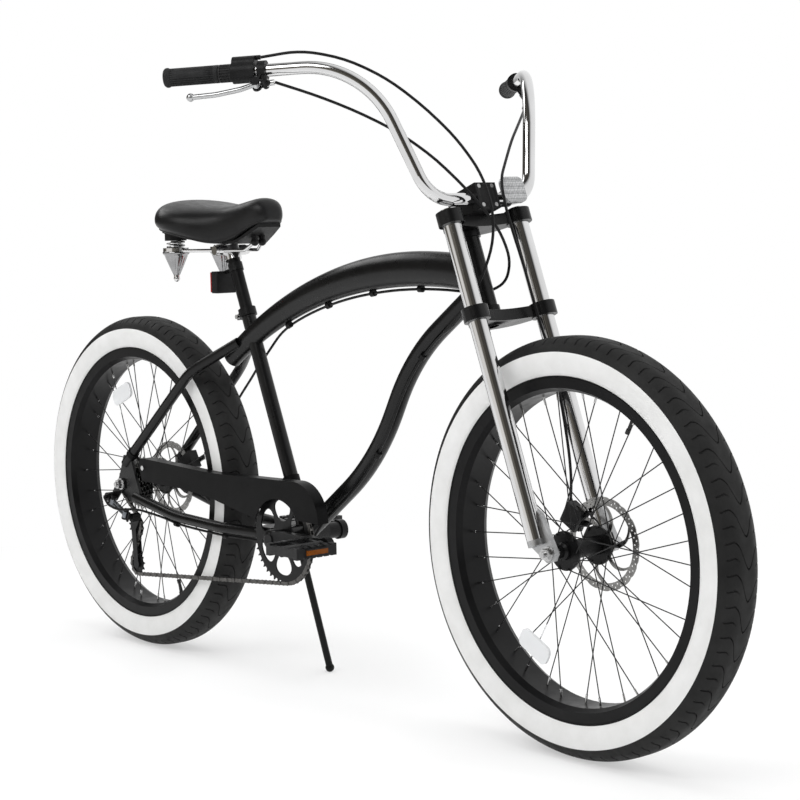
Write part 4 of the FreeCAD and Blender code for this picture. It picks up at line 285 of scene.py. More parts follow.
satin_black = finish("satin_black_paint", (0.0028, 0.0028, 0.003), (0.0055, 0.0055, 0.0057),
                     rough=(0.24, 0.33), patch=5.0, grain=850.0, relief=0.05, gloss_level=0.28)
dress(satin_black, "head_tube", "bottom_bracket_shell", "seat_tube", "top_tube", "down_tube")
dress(satin_black, "rear_stays")


# Frame fittings: brazed cable guides and the seat collar in the frame's paint, with a
# plated pinch bolt behind the seat tube.
plated = (0.62, 0.62, 0.62)
pinch_low = (-0.2996, -0.0135, 0.7069)
pinch_high = (-0.2902, -0.0079, 0.7165)


def inside_box(low, high):
    """Mask that is one inside a box given in the frame's metres."""
    centre = (Vector(low) + Vector(high)) / 2
    half = (Vector(high) - Vector(low)) / 2

    def mask(tree, place):
        reach = vector_node(tree, "ABSOLUTE", vector_node(tree, "SUBTRACT", place, centre))
        over = vector_node(tree, "SUBTRACT", reach, half)
        parts = fed(tree, tree.nodes.new("ShaderNodeSeparateXYZ"), over).outputs
        pair = number_node(tree, "MAXIMUM", parts[0], parts[1])
        most = number_node(tree, "MAXIMUM", pair, parts[2])
        return number_node(tree, "LESS_THAN", most, 0.0)

    return mask


fitting_paint = finish("fitting_paint", (0.003, 0.003, 0.0032), (0.007, 0.007, 0.0073),
                       rough=(0.3, 0.42), patch=30.0, grain=1200.0, relief=0.05, gloss_level=0.16,
                       marks=[(inside_box(pinch_low, pinch_high), plated, 1.0, 0.22)])
dress(fitting_paint, "frame_fittings", "kickstand_bracket")


# Bearing cups: steel headset cups pressed into the head tube and bottom bracket cups screwed
# into their shell, all blacked. The gear change's mount has the same finish.
blacked_steel = finish("blacked_steel", (0.006, 0.006, 0.0063), (0.015, 0.015, 0.016), metal=0.4,
                       rough=(0.28, 0.42), patch=40.0, grain=1500.0, relief=0.05, gloss_level=0.25)
dress(blacked_steel, "bearing_cups", "derailleur_mount")


# Fork: two crowns cast in alloy and sprayed black, clamped on chromed steel legs whose
# feet carry bright alloy dropouts. The lower crown holds the steerer.
crown_edge = 0.0022


def soften(name, width):
    """Rounded edges on a cast piece, with even shading over its flat faces."""
    part = nodes[name]
    weld = part.modifiers.new("one_skin", "WELD")
    weld.merge_threshold = 0.00001
    edges = part.modifiers.new("cast_edges", "BEVEL")
    edges.width = width
    edges.segments = 3
    edges.limit_method = "ANGLE"
    edges.angle_limit = math.radians(40.0)
    shading = part.modifiers.new("even_shading", "WEIGHTED_NORMAL")
    shading.weight = 60


chrome = finish("chrome_plate", (0.66, 0.66, 0.66), (0.76, 0.76, 0.765), metal=1.0,
                rough=(0.07, 0.11), patch=6.0, grain=260.0, relief=0.003)
bright_alloy = finish("bright_alloy", (0.38, 0.384, 0.388), (0.52, 0.525, 0.53), metal=1.0,
                      rough=(0.3, 0.42), patch=26.0, grain=700.0, relief=0.02)
dress(satin_black, "fork_crowns")
dress(chrome, "fork_legs")
dress(bright_alloy, "fork_dropouts")
soften("fork_crowns", crown_edge)


# Stem and bar: a forged stem with a four-bolt faceplate, sprayed black, holds a tall chromed
# bar that sweeps back to the grips.
bar_middle = Vector((0.409, 0.0, 0.9305))
bar_ahead = Vector((0.93789, 0.0, 0.34694))
plate_across = (0.0, 1.0, 0.0)
plate_up = (-bar_ahead.z, 0.0, bar_ahead.x)
bolt_spread = (0.015, 0.017)
bolt_head = 0.0037
stem_edge = 0.0022
stem_paint = {"dark": (0.003, 0.003, 0.0032), "light": (0.007, 0.007, 0.0073), "rough": (0.28, 0.4),
              "patch": 22.0, "grain": 1100.0, "relief": 0.06, "gloss_level": 0.16}


def faceplate_bolts(tree, place):
    """Mask that is one on the heads of the four bolts in the faceplate."""
    off = vector_node(tree, "SUBTRACT", place, bar_middle)
    pair = tree.nodes.new("ShaderNodeCombineXYZ")
    for socket, way, spread in zip(pair.inputs, (plate_across, plate_up), bolt_spread):
        along = number_node(tree, "ABSOLUTE", vector_node(tree, "DOT_PRODUCT", off, way))
        tree.links.new(number_node(tree, "SUBTRACT", along, spread), socket)
    reach = vector_node(tree, "LENGTH", pair.outputs[0])
    return number_node(tree, "LESS_THAN", reach, bolt_head)


stem_black = finish("stem_black", **stem_paint)
stem_forging = finish("stem_forging", **stem_paint,
                      marks=[(faceplate_bolts, (0.42, 0.42, 0.42), 1.0, 0.28)])
dress(stem_forging, "stem")
dress(chrome, "handlebar")
soften("stem", stem_edge)


# Grips: moulded rubber sleeves with lengthwise ribs, a flared end and one smooth pad each.
# The right one is shorter, to leave room for the twist shifter.
mm = 0.001
grip_tip = Vector((61.2, 402.0, 1147.3))
grip_way = Vector((0.796, -0.604, 0.037)).normalized()
grip_lengths = {-1: 94.0, 1: 130.0}
grip_radius = 15.3
grip_bore = 11.35
grip_flare = [(-3.0, 8.0), (-2.9, 12.5), (-2.3, 14.6), (-1.0, 15.8), (0.8, 16.7), (3.2, 16.9),
              (5.0, 16.4), (6.6, 15.4), (8.4, 15.3)]
grip_lip = [(-6.6, 15.3), (-4.5, 15.45), (-0.8, 15.45), (0.0, 14.9), (0.0, grip_bore)]
rib_count = 26
rib_depth = 1.15
rib_runs = 14
ribs_start = 9.6
ribs_short = 8.0
bore_start = -0.2
pad_turn = math.radians(-28.0)
pad_reach = 0.72
pad_start = 16.0
pad_short = 20.0
rib_edge = math.radians(38.0)


def skin(name, rings, joined=False):
    """Closed mesh over rows of rings; joined rows meet again, others get an end face each."""
    shell = bmesh.new()
    rows = [[shell.verts.new(point) for point in ring] for ring in rings]
    for index in range(len(rows) if joined else len(rows) - 1):
        here = rows[index]
        there = rows[(index + 1) % len(rows)]
        for step in range(len(here)):
            after = (step + 1) % len(here)
            shell.faces.new((here[step], here[after], there[after], there[step]))
    if not joined:
        shell.faces.new(list(reversed(rows[0])))
        shell.faces.new(rows[-1])
    bmesh.ops.recalc_face_normals(shell, faces=shell.faces)
    mesh = bpy.data.meshes.new(name)
    shell.to_mesh(mesh)
    shell.free()
    mesh.shade_smooth()
    piece = bpy.data.objects.new(name, mesh)
    scene.collection.objects.link(piece)
    return piece


def hand_axes(side):
    """Tip of a hand grip, its way inward, and two directions across it."""
    tip = Vector((grip_tip.x, side * grip_tip.y, grip_tip.z))
    inward = Vector((grip_way.x, side * grip_way.y, grip_way.z))
    across = inward.cross(Vector((0.0, 0.0, 1.0))).normalized()
    return tip, inward, across, across.cross(inward)


def grip(name, side):
    length = grip_lengths[side]
    tip, inward, across, above = hand_axes(side)
    ribs_span = length - ribs_start - ribs_short
    outline = [(place, radius, False) for place, radius in grip_flare]
    for step in range(rib_runs + 1):
        outline.append((ribs_start + ribs_span * step / rib_runs, grip_radius, True))
    outline += [(length + back, radius, False) for back, radius in grip_lip]
    outline.append((bore_start, grip_bore, False))
    rings = []
    for place, radius, ribbed in outline:
        ring = []
        for step in range(rib_count * 4):
            turn = math.tau * step / (rib_count * 4)
            deep = rib_depth if ribbed and step % 4 >= 2 else 0.0
            facing = math.cos(turn - pad_turn * side)
            if facing > pad_reach and pad_start < place < length - pad_short:
                deep = 0.0
            spread = (radius - deep) * (across * math.cos(turn) * -side + above * math.sin(turn))
            ring.append((tip + inward * place + spread) * mm)
        rings.append(ring)
    return skin(name, rings)


grip_pair = grip("grip_pair", -1)
left_grip = grip("left_grip", 1)
whole = bmesh.new()
whole.from_mesh(grip_pair.data)
whole.from_mesh(left_grip.data)
whole.to_mesh(grip_pair.data)
whole.free()
bpy.data.objects.remove(left_grip)
grip_pair.data.shade_smooth()
grip_pair.data.set_sharp_from_angle(angle=rib_edge)
grip_rubber = finish("grip_rubber", (0.012, 0.0122, 0.0126), (0.024, 0.0245, 0.025),
                     rough=(0.5, 0.64), patch=34.0, grain=1500.0, relief=0.16, gloss_level=0.18)
grip_pair.data.materials.append(grip_rubber)
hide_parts("grips")
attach(grip_pair, "steer")


# Bar controls: moulded black clamps and shifter case, a ribbed rubber twist sleeve and two
# forged bright levers with ball ends. Plated adjusters take the cables into the clamps.
moulded = {"dark": (0.004, 0.004, 0.0043), "light": (0.010, 0.010, 0.0104), "rough": (0.36, 0.5),
           "patch": 45.0, "grain": 1600.0, "relief": 0.12, "gloss_level": 0.18}
adjuster_boxes = [((0.2175, -0.306, 1.118), (0.236, -0.282, 1.140)),
                  ((0.196, 0.298, 1.118), (0.2145, 0.322, 1.140))]
adjuster_plate = (0.6, 0.6, 0.6)
twist_outline = [(94.5, 11.3), (94.5, 13.9), (95.3, 14.9), (96.4, 15.4), (98.2, 15.4), (98.5, 15.4),
                 (115.0, 15.4), (115.3, 15.4), (117.0, 15.4), (118.0, 14.9), (118.5, 13.9), (118.5, 11.3)]
ribs_low = 98.4
ribs_high = 115.1
twist_ribs = 20
twist_rib_depth = 1.6
case_black = finish("moulded_black", **moulded)
clamp_black = finish("clamp_black", **moulded, marks=[
    (inside_box(low, high), adjuster_plate, 1.0, 0.22) for low, high in adjuster_boxes])
twist_rubber = finish("twist_rubber", (0.012, 0.012, 0.0123), (0.024, 0.024, 0.0245),
                      rough=(0.5, 0.66), patch=60.0, grain=1300.0, relief=0.16, gloss_level=0.2)
lever_alloy = finish("lever_alloy", (0.46, 0.465, 0.47), (0.6, 0.605, 0.61), metal=1.0,
                     rough=(0.2, 0.32), patch=30.0, grain=900.0, relief=0.03)
dress(clamp_black, "control_clamps")
dress(lever_alloy, "right_brake_lever", "left_brake_lever")
twist_rings = []
tip, inward, across, above = hand_axes(-1)
for place, radius in twist_outline:
    ring = []
    for step in range(twist_ribs * 4):
        turn = math.tau * step / (twist_ribs * 4)
        ribbed = ribs_low < place < ribs_high and step % 4 >= 2
        reach = radius - twist_rib_depth if ribbed else radius
        spread = reach * (across * math.cos(turn) + above * math.sin(turn))
        ring.append((tip + inward * place + spread) * mm)
    twist_rings.append(ring)
twist_sleeve = skin("ribbed_twist", twist_rings, joined=True)
twist_sleeve.data.set_sharp_from_angle(angle=rib_edge)
twist_sleeve.data.materials.append(twist_rubber)
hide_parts("shifter_twist")
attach(twist_sleeve, "twist")


# Front reflector: a clear lens moulded with small prisms, on a black band clamped beside
# the stem. The lens is darkened towards the edge of each prism: painted shade of its facets.
lens_ahead = 0.0202
prism_size = 0.0042
lens_edge = 0.0016


def beyond_plane(point, normal):
    """Mask that is one past a plane through the point."""
    limit = Vector(point).dot(Vector(normal))

    def mask(tree, place):
        return number_node(tree, "GREATER_THAN", vector_node(tree, "DOT_PRODUCT", place, normal), limit)

    return mask


def prism_edge_shade(area, size):
    """Mask of painted shade that grows towards the edges of small prism cells, within another mask."""
    def mask(tree, place):
        cells = tree.nodes.new("ShaderNodeTexVoronoi")
        cells.inputs["Scale"].default_value = 1.0 / size
        cells.inputs["Randomness"].default_value = 0.25
        tree.links.new(place, cells.inputs["Vector"])
        return number_node(tree, "MULTIPLY", cells.outputs["Distance"], area(tree, place))

    return mask


lens_area = beyond_plane(bar_middle + bar_ahead * lens_ahead, bar_ahead)
# The dark second mark on the lens is painted shade at the edges of the prisms.
front_lens = finish("front_reflector_lens", (0.006, 0.006, 0.0063), (0.013, 0.013, 0.0135),
                    rough=(0.35, 0.5), patch=50.0, grain=900.0, relief=0.1,
                    marks=[(lens_area, (0.6, 0.605, 0.61), 0.0, 0.2),
                           (prism_edge_shade(lens_area, prism_size), (0.07, 0.072, 0.075), 0.0, 0.2)])
dress(front_lens, "front_reflector")
soften("front_reflector", lens_edge)


# Tyres: wide moulded rubber with a white band on each wall. The tread is cut with short and
# long curved slits that start at the shoulder; the long ones swing forward to the middle.
wheel_x = {"front": 0.639, "rear": -0.639}
axle_height = 0.352
tread_radius = 352.0
shoulder_radius = 337.0
slit_count = 88
slit_pitch = math.tau * tread_radius / slit_count
slit_depth = 2.4
slit_start = 35.4
short_slit_end = 20.0
stagger_half = 20.0
slit_edge = math.radians(42.0)
slit_steps = [(-1.7, 0.0), (-0.75, 1.0), (0.75, 1.0), (1.7, 0.0), (9.0, 0.0), (15.4, 0.0), (22.0, 0.0)]
wall_profile = [(287.0, 37.2), (288.6, 38.6), (289.6, 39.2), (290.0, 39.9), (294.0, 41.5),
                (300.0, 43.2), (306.0, 44.4), (313.0, 45.1), (320.0, 45.3), (326.0, 44.4),
                (327.6, 44.0), (328.0, 43.3), (332.0, 41.6), (336.0, 38.9)]
tread_profile = [(338.6, 37.0), (339.6, 36.1), (341.3, 34.6), (343.6, 31.8), (345.8, 28.4),
                 (347.8, 24.8), (349.5, 21.2), (350.8, 17.6), (351.6, 14.2), (351.9, 11.0),
                 (352.0, 8.0), (352.0, 5.2), (352.0, 2.6)]
bead_profile = [(286.4, 34.6), (272.4, 33.2), (271.8, 12.0), (271.8, -12.0), (272.4, -33.2), (286.4, -34.6)]
slit_swing = [(37.0, 0.0), (34.6, 0.6), (31.8, 0.3), (28.4, -0.8), (24.8, -1.6), (21.2, 0.4),
              (17.6, 5.0), (14.2, 12.0), (11.0, 21.0), (8.0, 29.0), (5.2, 35.5), (2.6, 40.5), (0.0, 43.0)]
white_low = 288.7
white_high = 327.7
white_out = 0.0385


def between(points, value):
    """Straight reading between points that run down in their first number."""
    if value >= points[0][0]:
        return points[0][1]
    for (high, first), (low, second) in zip(points, points[1:]):
        if value >= low:
            return first + (second - first) * (high - value) / (high - low)
    return points[-1][1]


def slit_share(side_place, long_slit):
    """One where a slit is cut at that distance from the middle, and nought elsewhere."""
    if side_place > slit_start:
        return 0.0
    return 1.0 if long_slit or side_place > short_slit_end else 0.0


tread_rubber = finish("tread_rubber", (0.011, 0.011, 0.011), (0.020, 0.020, 0.0198),
                      rough=(0.5, 0.66), patch=14.0, grain=900.0, relief=0.16, gloss_level=0.15)
white_rubber = finish("white_wall_rubber", (0.70, 0.70, 0.69), (0.78, 0.78, 0.775),
                      rough=(0.5, 0.64), patch=18.0, grain=1100.0, relief=0.08)


def tyre(name, wheel):
    half_outline = wall_profile + tread_profile
    outline = [(radius, -wide) for radius, wide in half_outline] + [(tread_radius, 0.0)]
    outline += half_outline[::-1] + bead_profile
    rings = []
    for slit in range(slit_count):
        for place, cut in slit_steps:
            ring = []
            for radius, wide in outline:
                shift = place + slit * slit_pitch
                drop = 0.0
                if radius > shoulder_radius:
                    stagger = slit_pitch * 0.5 * min(1.0, max(0.0, wide) / stagger_half)
                    shift += between(slit_swing, abs(wide)) + stagger
                    drop = slit_depth * cut * slit_share(abs(wide), slit % 2 == 0)
                turn = shift / tread_radius
                reach = (radius - drop) * mm
                ring.append(Vector((reach * math.cos(turn), wide * mm, -reach * math.sin(turn))))
            rings.append(ring)
    piece = skin(name, rings, joined=True)
    mesh = piece.data
    mesh.set_sharp_from_angle(angle=slit_edge)
    mesh.materials.append(tread_rubber)
    mesh.materials.append(white_rubber)
    for face in mesh.polygons:
        middle = face.center
        radius = math.hypot(middle.x, middle.z) / mm
        if white_low < radius < white_high and abs(middle.y) > white_out:
            face.material_index = 1
    piece.location = (wheel_x[wheel], 0.0, axle_height)
    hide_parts(wheel + "_tyre")
    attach(piece, wheel + "_wheel")


for wheel in ("front", "rear"):
    tyre(wheel + "_tread_tyre", wheel)


# Rims, spokes and hubs: rolled alloy rims, drawn steel spokes and turned hubs, all blacked,
# with bright brass nipples at the rim and one clear clip-on reflector in each wheel.
nipple_radius = 0.2475
valve_radius = 0.243
valve_half = Vector((0.022, 0.008, 0.022))
valve_rubber = (0.014, 0.014, 0.0145)
reflector_radius = 0.200
reflector_half = 0.042
reflector_clear = (0.74, 0.75, 0.76)
reflector_turns = {"front": 118.0, "rear": -114.0}
reflector_faces = {"front": (-0.0216, -0.0162), "rear": (-0.0166, -0.0112)}


def beyond_radius(x, z, radius):
    """Mask that is one further than the radius from an axle across the bicycle."""
    def mask(tree, place):
        off = vector_node(tree, "SUBTRACT", place, (x, 0.0, z))
        flat = vector_node(tree, "MULTIPLY", off, (1.0, 0.0, 1.0))
        return number_node(tree, "GREATER_THAN", vector_node(tree, "LENGTH", flat), radius)

    return mask


rim_black = finish("rim_black", (0.004, 0.004, 0.0043), (0.008, 0.008, 0.0084),
                   rough=(0.28, 0.4), patch=10.0, grain=900.0, relief=0.04, gloss_level=0.14)
hub_black = finish("hub_black", (0.006, 0.006, 0.0063), (0.014, 0.014, 0.0145), metal=0.5,
                   rough=(0.26, 0.4), patch=40.0, grain=1300.0, relief=0.05, gloss_level=0.3)
for wheel in ("front", "rear"):
    axle = Vector((wheel_x[wheel], 0.0, axle_height))
    turn = math.radians(reflector_turns[wheel])
    outward = Vector((math.cos(turn), 0.0, -math.sin(turn)))
    spot = axle + outward * reflector_radius
    valve = axle - outward * valve_radius
    low_face, high_face = reflector_faces[wheel]
    reflector_low = spot + Vector((-reflector_half, low_face, -reflector_half))
    reflector_high = spot + Vector((reflector_half, high_face, reflector_half))
    spoke_black = finish(
        wheel + "_spoke_black", (0.011, 0.011, 0.0115), (0.022, 0.022, 0.023), metal=0.5,
        rough=(0.3, 0.42), patch=40.0, grain=1300.0, relief=0.03,
        marks=[(beyond_radius(axle.x, axle.z, nipple_radius), plated, 1.0, 0.25),
               (inside_box(valve - valve_half, valve + valve_half), valve_rubber, 0.0, 0.5),
               (inside_box(reflector_low, reflector_high), reflector_clear, 0.0, 0.14)])
    dress(spoke_black, wheel + "_spokes")
dress(rim_black, "front_rim", "rear_rim")
dress(hub_black, "front_hub", "rear_hub")


# Brake discs and axles: punched and ground stainless discs with a waved edge and two rows of
# holes, bolted to the hubs, and threaded steel axles with bright nuts and washers.
disc_radius = 79.6
disc_wave = 1.5
disc_waves = 18
wave_steps = 12
disc_side = 53.9
disc_half = 0.9
band_inside = 66.0
hole_rows = ((75.0, 0.0), (70.2, 0.5))
hole_count = 36
hole_radius = 1.75
hole_steps = 10
arm_count = 6
arm_half = 3.6
arm_sweep = 0.5
window_steps = 8
hub_ring = 24.0
hub_bore = 11.4
bore_steps = 40
punched_edge = math.radians(32.0)
weld_gap = 0.000002


def polar(radius, turn):
    return (radius * math.cos(turn), radius * math.sin(turn))


def round_line(middle, radius, count):
    """Closed round line of so many points."""
    line = []
    for step in range(count):
        ahead, up = polar(radius, math.tau * step / count)
        line.append((middle[0] + ahead, middle[1] + up))
    return line


def arm_window(turn):
    """Opening between two swept arms of a disc, as a closed line."""
    pitch = math.tau / arm_count
    low = hub_ring + 1.0
    high = band_inside - 0.5
    outward = []
    inward = []
    for step in range(window_steps + 1):
        share = step / window_steps
        radius = low + (high - low) * share
        lean = turn + arm_sweep * share ** 2
        inset = arm_half / radius
        outward.append(polar(radius, lean + inset))
        inward.append(polar(radius, lean + pitch - inset))
    inset = arm_half / band_inside
    first = turn + arm_sweep + inset
    span = pitch - 2 * inset
    arc = [polar(band_inside, first + span * step / window_steps) for step in range(1, window_steps)]
    return outward + arc + inward[::-1]


def plate(name, outlines, half_thick, place):
    """Flat plate across the bicycle with its openings, from closed lines in millimetres."""
    sheet = bpy.data.curves.new(name, "CURVE")
    sheet.dimensions = "2D"
    sheet.fill_mode = "BOTH"
    sheet.extrude = half_thick * mm
    for outline in outlines:
        line = sheet.splines.new("POLY")
        line.points.add(len(outline) - 1)
        for point, (ahead, up) in zip(line.points, outline):
            point.co = (ahead * mm, up * mm, 0.0, 1.0)
        line.use_cyclic_u = True
    cutter = bpy.data.objects.new(name + "_lines", sheet)
    mesh = bpy.data.meshes.new_from_object(cutter)
    bpy.data.objects.remove(cutter)
    mesh.transform(Matrix.Translation(place) @ Matrix.Rotation(math.radians(90.0), 4, "X"))
    shell = bmesh.new()
    shell.from_mesh(mesh)
    bmesh.ops.remove_doubles(shell, verts=shell.verts, dist=weld_gap)
    bmesh.ops.recalc_face_normals(shell, faces=shell.faces)
    shell.to_mesh(mesh)
    shell.free()
    mesh.name = name
    mesh.shade_smooth()
    mesh.set_sharp_from_angle(angle=punched_edge)
    mesh.materials.clear()
    piece = bpy.data.objects.new(name, mesh)
    scene.collection.objects.link(piece)
    return piece


disc_steel = finish("disc_steel", (0.22, 0.218, 0.212), (0.34, 0.336, 0.328), metal=1.0,
                    rough=(0.24, 0.38), patch=60.0, grain=2200.0, relief=0.08)
axle_steel = finish("axle_steel", (0.46, 0.46, 0.46), (0.62, 0.62, 0.62), metal=1.0,
                    rough=(0.2, 0.34), patch=60.0, grain=1600.0, relief=0.05)
disc_lines = [[]]
for step in range(disc_waves * wave_steps):
    turn = math.tau * step / (disc_waves * wave_steps)
    reach = disc_radius - disc_wave * max(0.0, math.cos(turn * disc_waves)) ** 2
    disc_lines[0].append(polar(reach, turn))
disc_lines.append(round_line((0.0, 0.0), hub_bore, bore_steps))
for arm in range(arm_count):
    disc_lines.append(arm_window(math.tau * arm / arm_count))
for radius, stagger in hole_rows:
    for hole in range(hole_count):
        middle = polar(radius, math.tau * (hole + stagger) / hole_count)
        disc_lines.append(round_line(middle, hole_radius, hole_steps))
for wheel in ("front", "rear"):
    place = Vector((wheel_x[wheel], disc_side * mm, axle_height))
    rotor = plate(wheel + "_waved_disc", disc_lines, disc_half, place)
    rotor.data.materials.append(disc_steel)
    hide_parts(wheel + "_brake_disc")
    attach(rotor, wheel + "_wheel")
dress(axle_steel, "front_axle", "rear_axle")


# Cranks and chain: forged cranks and a pressed ring in black with six petal openings, a
# riveted steel chain, and a freewheel of seven cut sprockets.
crank_edge = 0.0014
ring_place = Vector((-0.102, -0.056, 0.294))
ring_half = 1.5
ring_pitch = 89.01
ring_teeth = 44
first_tooth = math.radians(-176.07)
tooth_side = ((-3.0, -3.9), (-2.1, -2.2), (-1.35, 0.2), (-0.8, 2.1), (-0.4, 2.4),
              (0.4, 2.4), (0.8, 2.1), (1.35, 0.2), (2.1, -2.2), (3.0, -3.9))
boss_radius = 16.1
boss_steps = 48
petal_count = 6
petal_steps = 36
petal_middle = 53.0
petal_reach = 20.5
petal_spread = 0.44
petal_blunt = 0.8


def petal_line(turn):
    """Egg-shaped opening, wider towards the teeth."""
    line = []
    for step in range(petal_steps):
        ahead, up = polar(1.0, math.tau * step / petal_steps)
        out = math.copysign(abs(ahead) ** petal_blunt, ahead)
        aside = math.copysign(abs(up) ** petal_blunt, up)
        line.append(polar(petal_middle + petal_reach * out, turn + petal_spread * aside))
    return line


crank_black = finish("crank_black", (0.0035, 0.0035, 0.0037), (0.008, 0.008, 0.0084),
                     rough=(0.28, 0.4), patch=24.0, grain=1100.0, relief=0.05, gloss_level=0.18)
chain_steel = finish("chain_steel", (0.075, 0.073, 0.07), (0.16, 0.155, 0.15), metal=1.0,
                     rough=(0.3, 0.5), patch=120.0, grain=1800.0, relief=0.08)
cog_steel = finish("cog_steel", (0.14, 0.14, 0.14), (0.26, 0.26, 0.255), metal=1.0,
                   rough=(0.28, 0.44), patch=70.0, grain=1600.0, relief=0.06)
dress(crank_black, "right_crank", "left_crank")
soften("right_crank", crank_edge)
soften("left_crank", crank_edge)
ring_lines = [[], round_line((0.0, 0.0), boss_radius, boss_steps)]
for tooth in range(ring_teeth):
    middle = first_tooth + math.tau * tooth / ring_teeth
    for aside, rise in tooth_side:
        reach = ring_pitch + rise
        ring_lines[0].append(polar(reach, middle + aside / reach))
for petal in range(petal_count):
    ring_lines.append(petal_line(math.tau * (petal + 0.5) / petal_count))
toothed_ring = plate("petal_chainring", ring_lines, ring_half, ring_place)
toothed_ring.data.materials.append(crank_black)
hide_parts("chainring")
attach(toothed_ring, "crankset")
dress(chain_steel, "chain")
dress(cog_steel, "freewheel")


# Chain guard: one pressed sheet with a rolled edge, sprayed black and left plain, held by
# clips and a bright screw at the rear.
screw_low = (-0.5665, -0.0745, 0.3865)
screw_high = (-0.5555, -0.0711, 0.3975)
guard_black = finish("guard_black", (0.0025, 0.0025, 0.0027), (0.005, 0.005, 0.0052),
                     rough=(0.3, 0.4), patch=9.0, grain=800.0, relief=0.05, gloss_level=0.08,
                     marks=[(inside_box(screw_low, screw_high), plated, 1.0, 0.24)])
dress(guard_black, "chain_guard")


# Pedals: moulded black cages that turn on steel axles screwed into the cranks, with an amber
# reflector let into each long side.
lens_thick = 0.0029
lens_half = 0.0044
amber = (0.2, 0.055, 0.005)
pedal_edge = 0.0007
for name in ("right_pedal", "left_pedal"):
    low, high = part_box(name)
    middle = (low.z + high.z) / 2
    lens_low = Vector((low.x - lens_thick, low.y, middle - lens_half))
    lens_high = Vector((low.x + lens_thick, high.y, middle + lens_half))
    along = Vector((high.x - low.x, 0.0, 0.0))
    pedal_black = finish(
        name + "_black", (0.005, 0.005, 0.0053), (0.012, 0.012, 0.0125),
        rough=(0.3, 0.44), patch=45.0, grain=1400.0, relief=0.12, gloss_level=0.32,
        marks=[(inside_box(lens_low, lens_high), amber, 0.0, 0.16),
               (inside_box(lens_low + along, lens_high + along), amber, 0.0, 0.16)])
    dress(pedal_black, name)
    soften(name, pedal_edge)


# Rear gear change: two pressed links in bare alloy, moulded knuckle and pulleys, and a cage
# of two blacked plates.
link_alloy = finish("link_alloy", (0.13, 0.14, 0.155), (0.27, 0.285, 0.305), metal=1.0,
                    rough=(0.22, 0.36), patch=50.0, grain=1500.0, relief=0.05)
dress(link_alloy, "derailleur_links")
dress(blacked_steel, "derailleur_cage")
dress(case_black, "derailleur_knuckle", "guide_pulley", "tension_pulley")


# Disc calipers: cast black bodies bolted beside the discs on the left, each with a swinging
# steel arm that the cable pulls.
caliper_edge = 0.0012
caliper_black = finish("caliper_black", (0.004, 0.004, 0.0043), (0.010, 0.010, 0.0104),
                       rough=(0.34, 0.48), patch=45.0, grain=1500.0, relief=0.1, gloss_level=0.2)
dress(caliper_black, "front_brake_caliper", "rear_brake_caliper")
dress(axle_steel, "front_caliper_arm", "rear_caliper_arm")
soften("front_brake_caliper", caliper_edge)
soften("rear_brake_caliper", caliper_edge)


# Cables: steel wire in black plastic housing. The front brake's stays with the fork; the other
# two pass from the bar to the frame.
housing_black = finish("cable_housing", (0.005, 0.005, 0.0053), (0.011, 0.011, 0.0115),
                       rough=(0.36, 0.48), patch=30.0, grain=1400.0, relief=0.05, gloss_level=0.2)
dress(housing_black, "front_brake_cable")
for name in ("shift_cable", "rear_brake_cable"):
    housing = bpy.data.objects.new(name + "_housing", nodes[name].data.copy())
    scene.collection.objects.link(housing)
    housing.data.materials.clear()
    housing.data.materials.append(housing_black)
    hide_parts(name)
    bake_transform(housing)


# Kickstand: a bent steel rod with a foot, sprayed black, that swings on its bracket under
# the frame.
dress(stem_black, "kickstand_leg")


# Seat post and saddle frame: a black post, chromed rails with their clamp, chromed springs
# that stand in fluted plated cups, and a moulded black pan.
pan_edge = 0.002
cup_centre = Vector((-433.0, 58.0, 850.2))
cup_profile = [(-55.0, 6.4, 0.0), (-53.6, 7.2, 0.0), (-51.0, 8.0, 0.5), (-44.0, 11.0, 0.8),
               (-36.0, 14.4, 1.0), (-28.0, 17.8, 1.1), (-21.0, 20.9, 1.0), (-16.5, 22.9, 0.4),
               (-15.2, 23.6, 0.0), (-13.4, 25.4, 0.0), (-12.2, 26.6, 0.0), (-10.0, 27.2, 0.0),
               (-7.8, 26.7, 0.0), (-6.6, 25.2, 0.0), (-6.4, 22.4, 0.0), (-12.5, 22.0, 0.0),
               (-54.0, 5.6, 0.0)]
flute_count = 14
flute_steps = 8
flute_middle = 0.4
cup_nickel = finish("cup_nickel", (0.3, 0.3, 0.305), (0.42, 0.42, 0.425), metal=1.0,
                    rough=(0.12, 0.2), patch=30.0, grain=600.0, relief=0.01)


def fluted_cup(name, side):
    rings = []
    for rise, radius, flute in cup_profile:
        place = Vector((cup_centre.x, side * cup_centre.y, cup_centre.z + rise))
        ring = []
        for step in range(flute_count * flute_steps):
            turn = math.tau * step / (flute_count * flute_steps)
            reach = radius + flute * (abs(math.cos(turn * flute_count / 2)) - flute_middle)
            ring.append((place + Vector((*polar(reach, turn), 0.0))) * mm)
        rings.append(ring)
    cup = skin(name, rings, joined=True)
    cup.data.materials.append(cup_nickel)
    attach(cup, "seat")


dress(stem_black, "seat_post")
dress(chrome, "saddle_rails", "saddle_springs")
dress(case_black, "saddle_base")
soften("saddle_base", pan_edge)
fluted_cup("right_spring_cup", -1)
fluted_cup("left_spring_cup", 1)


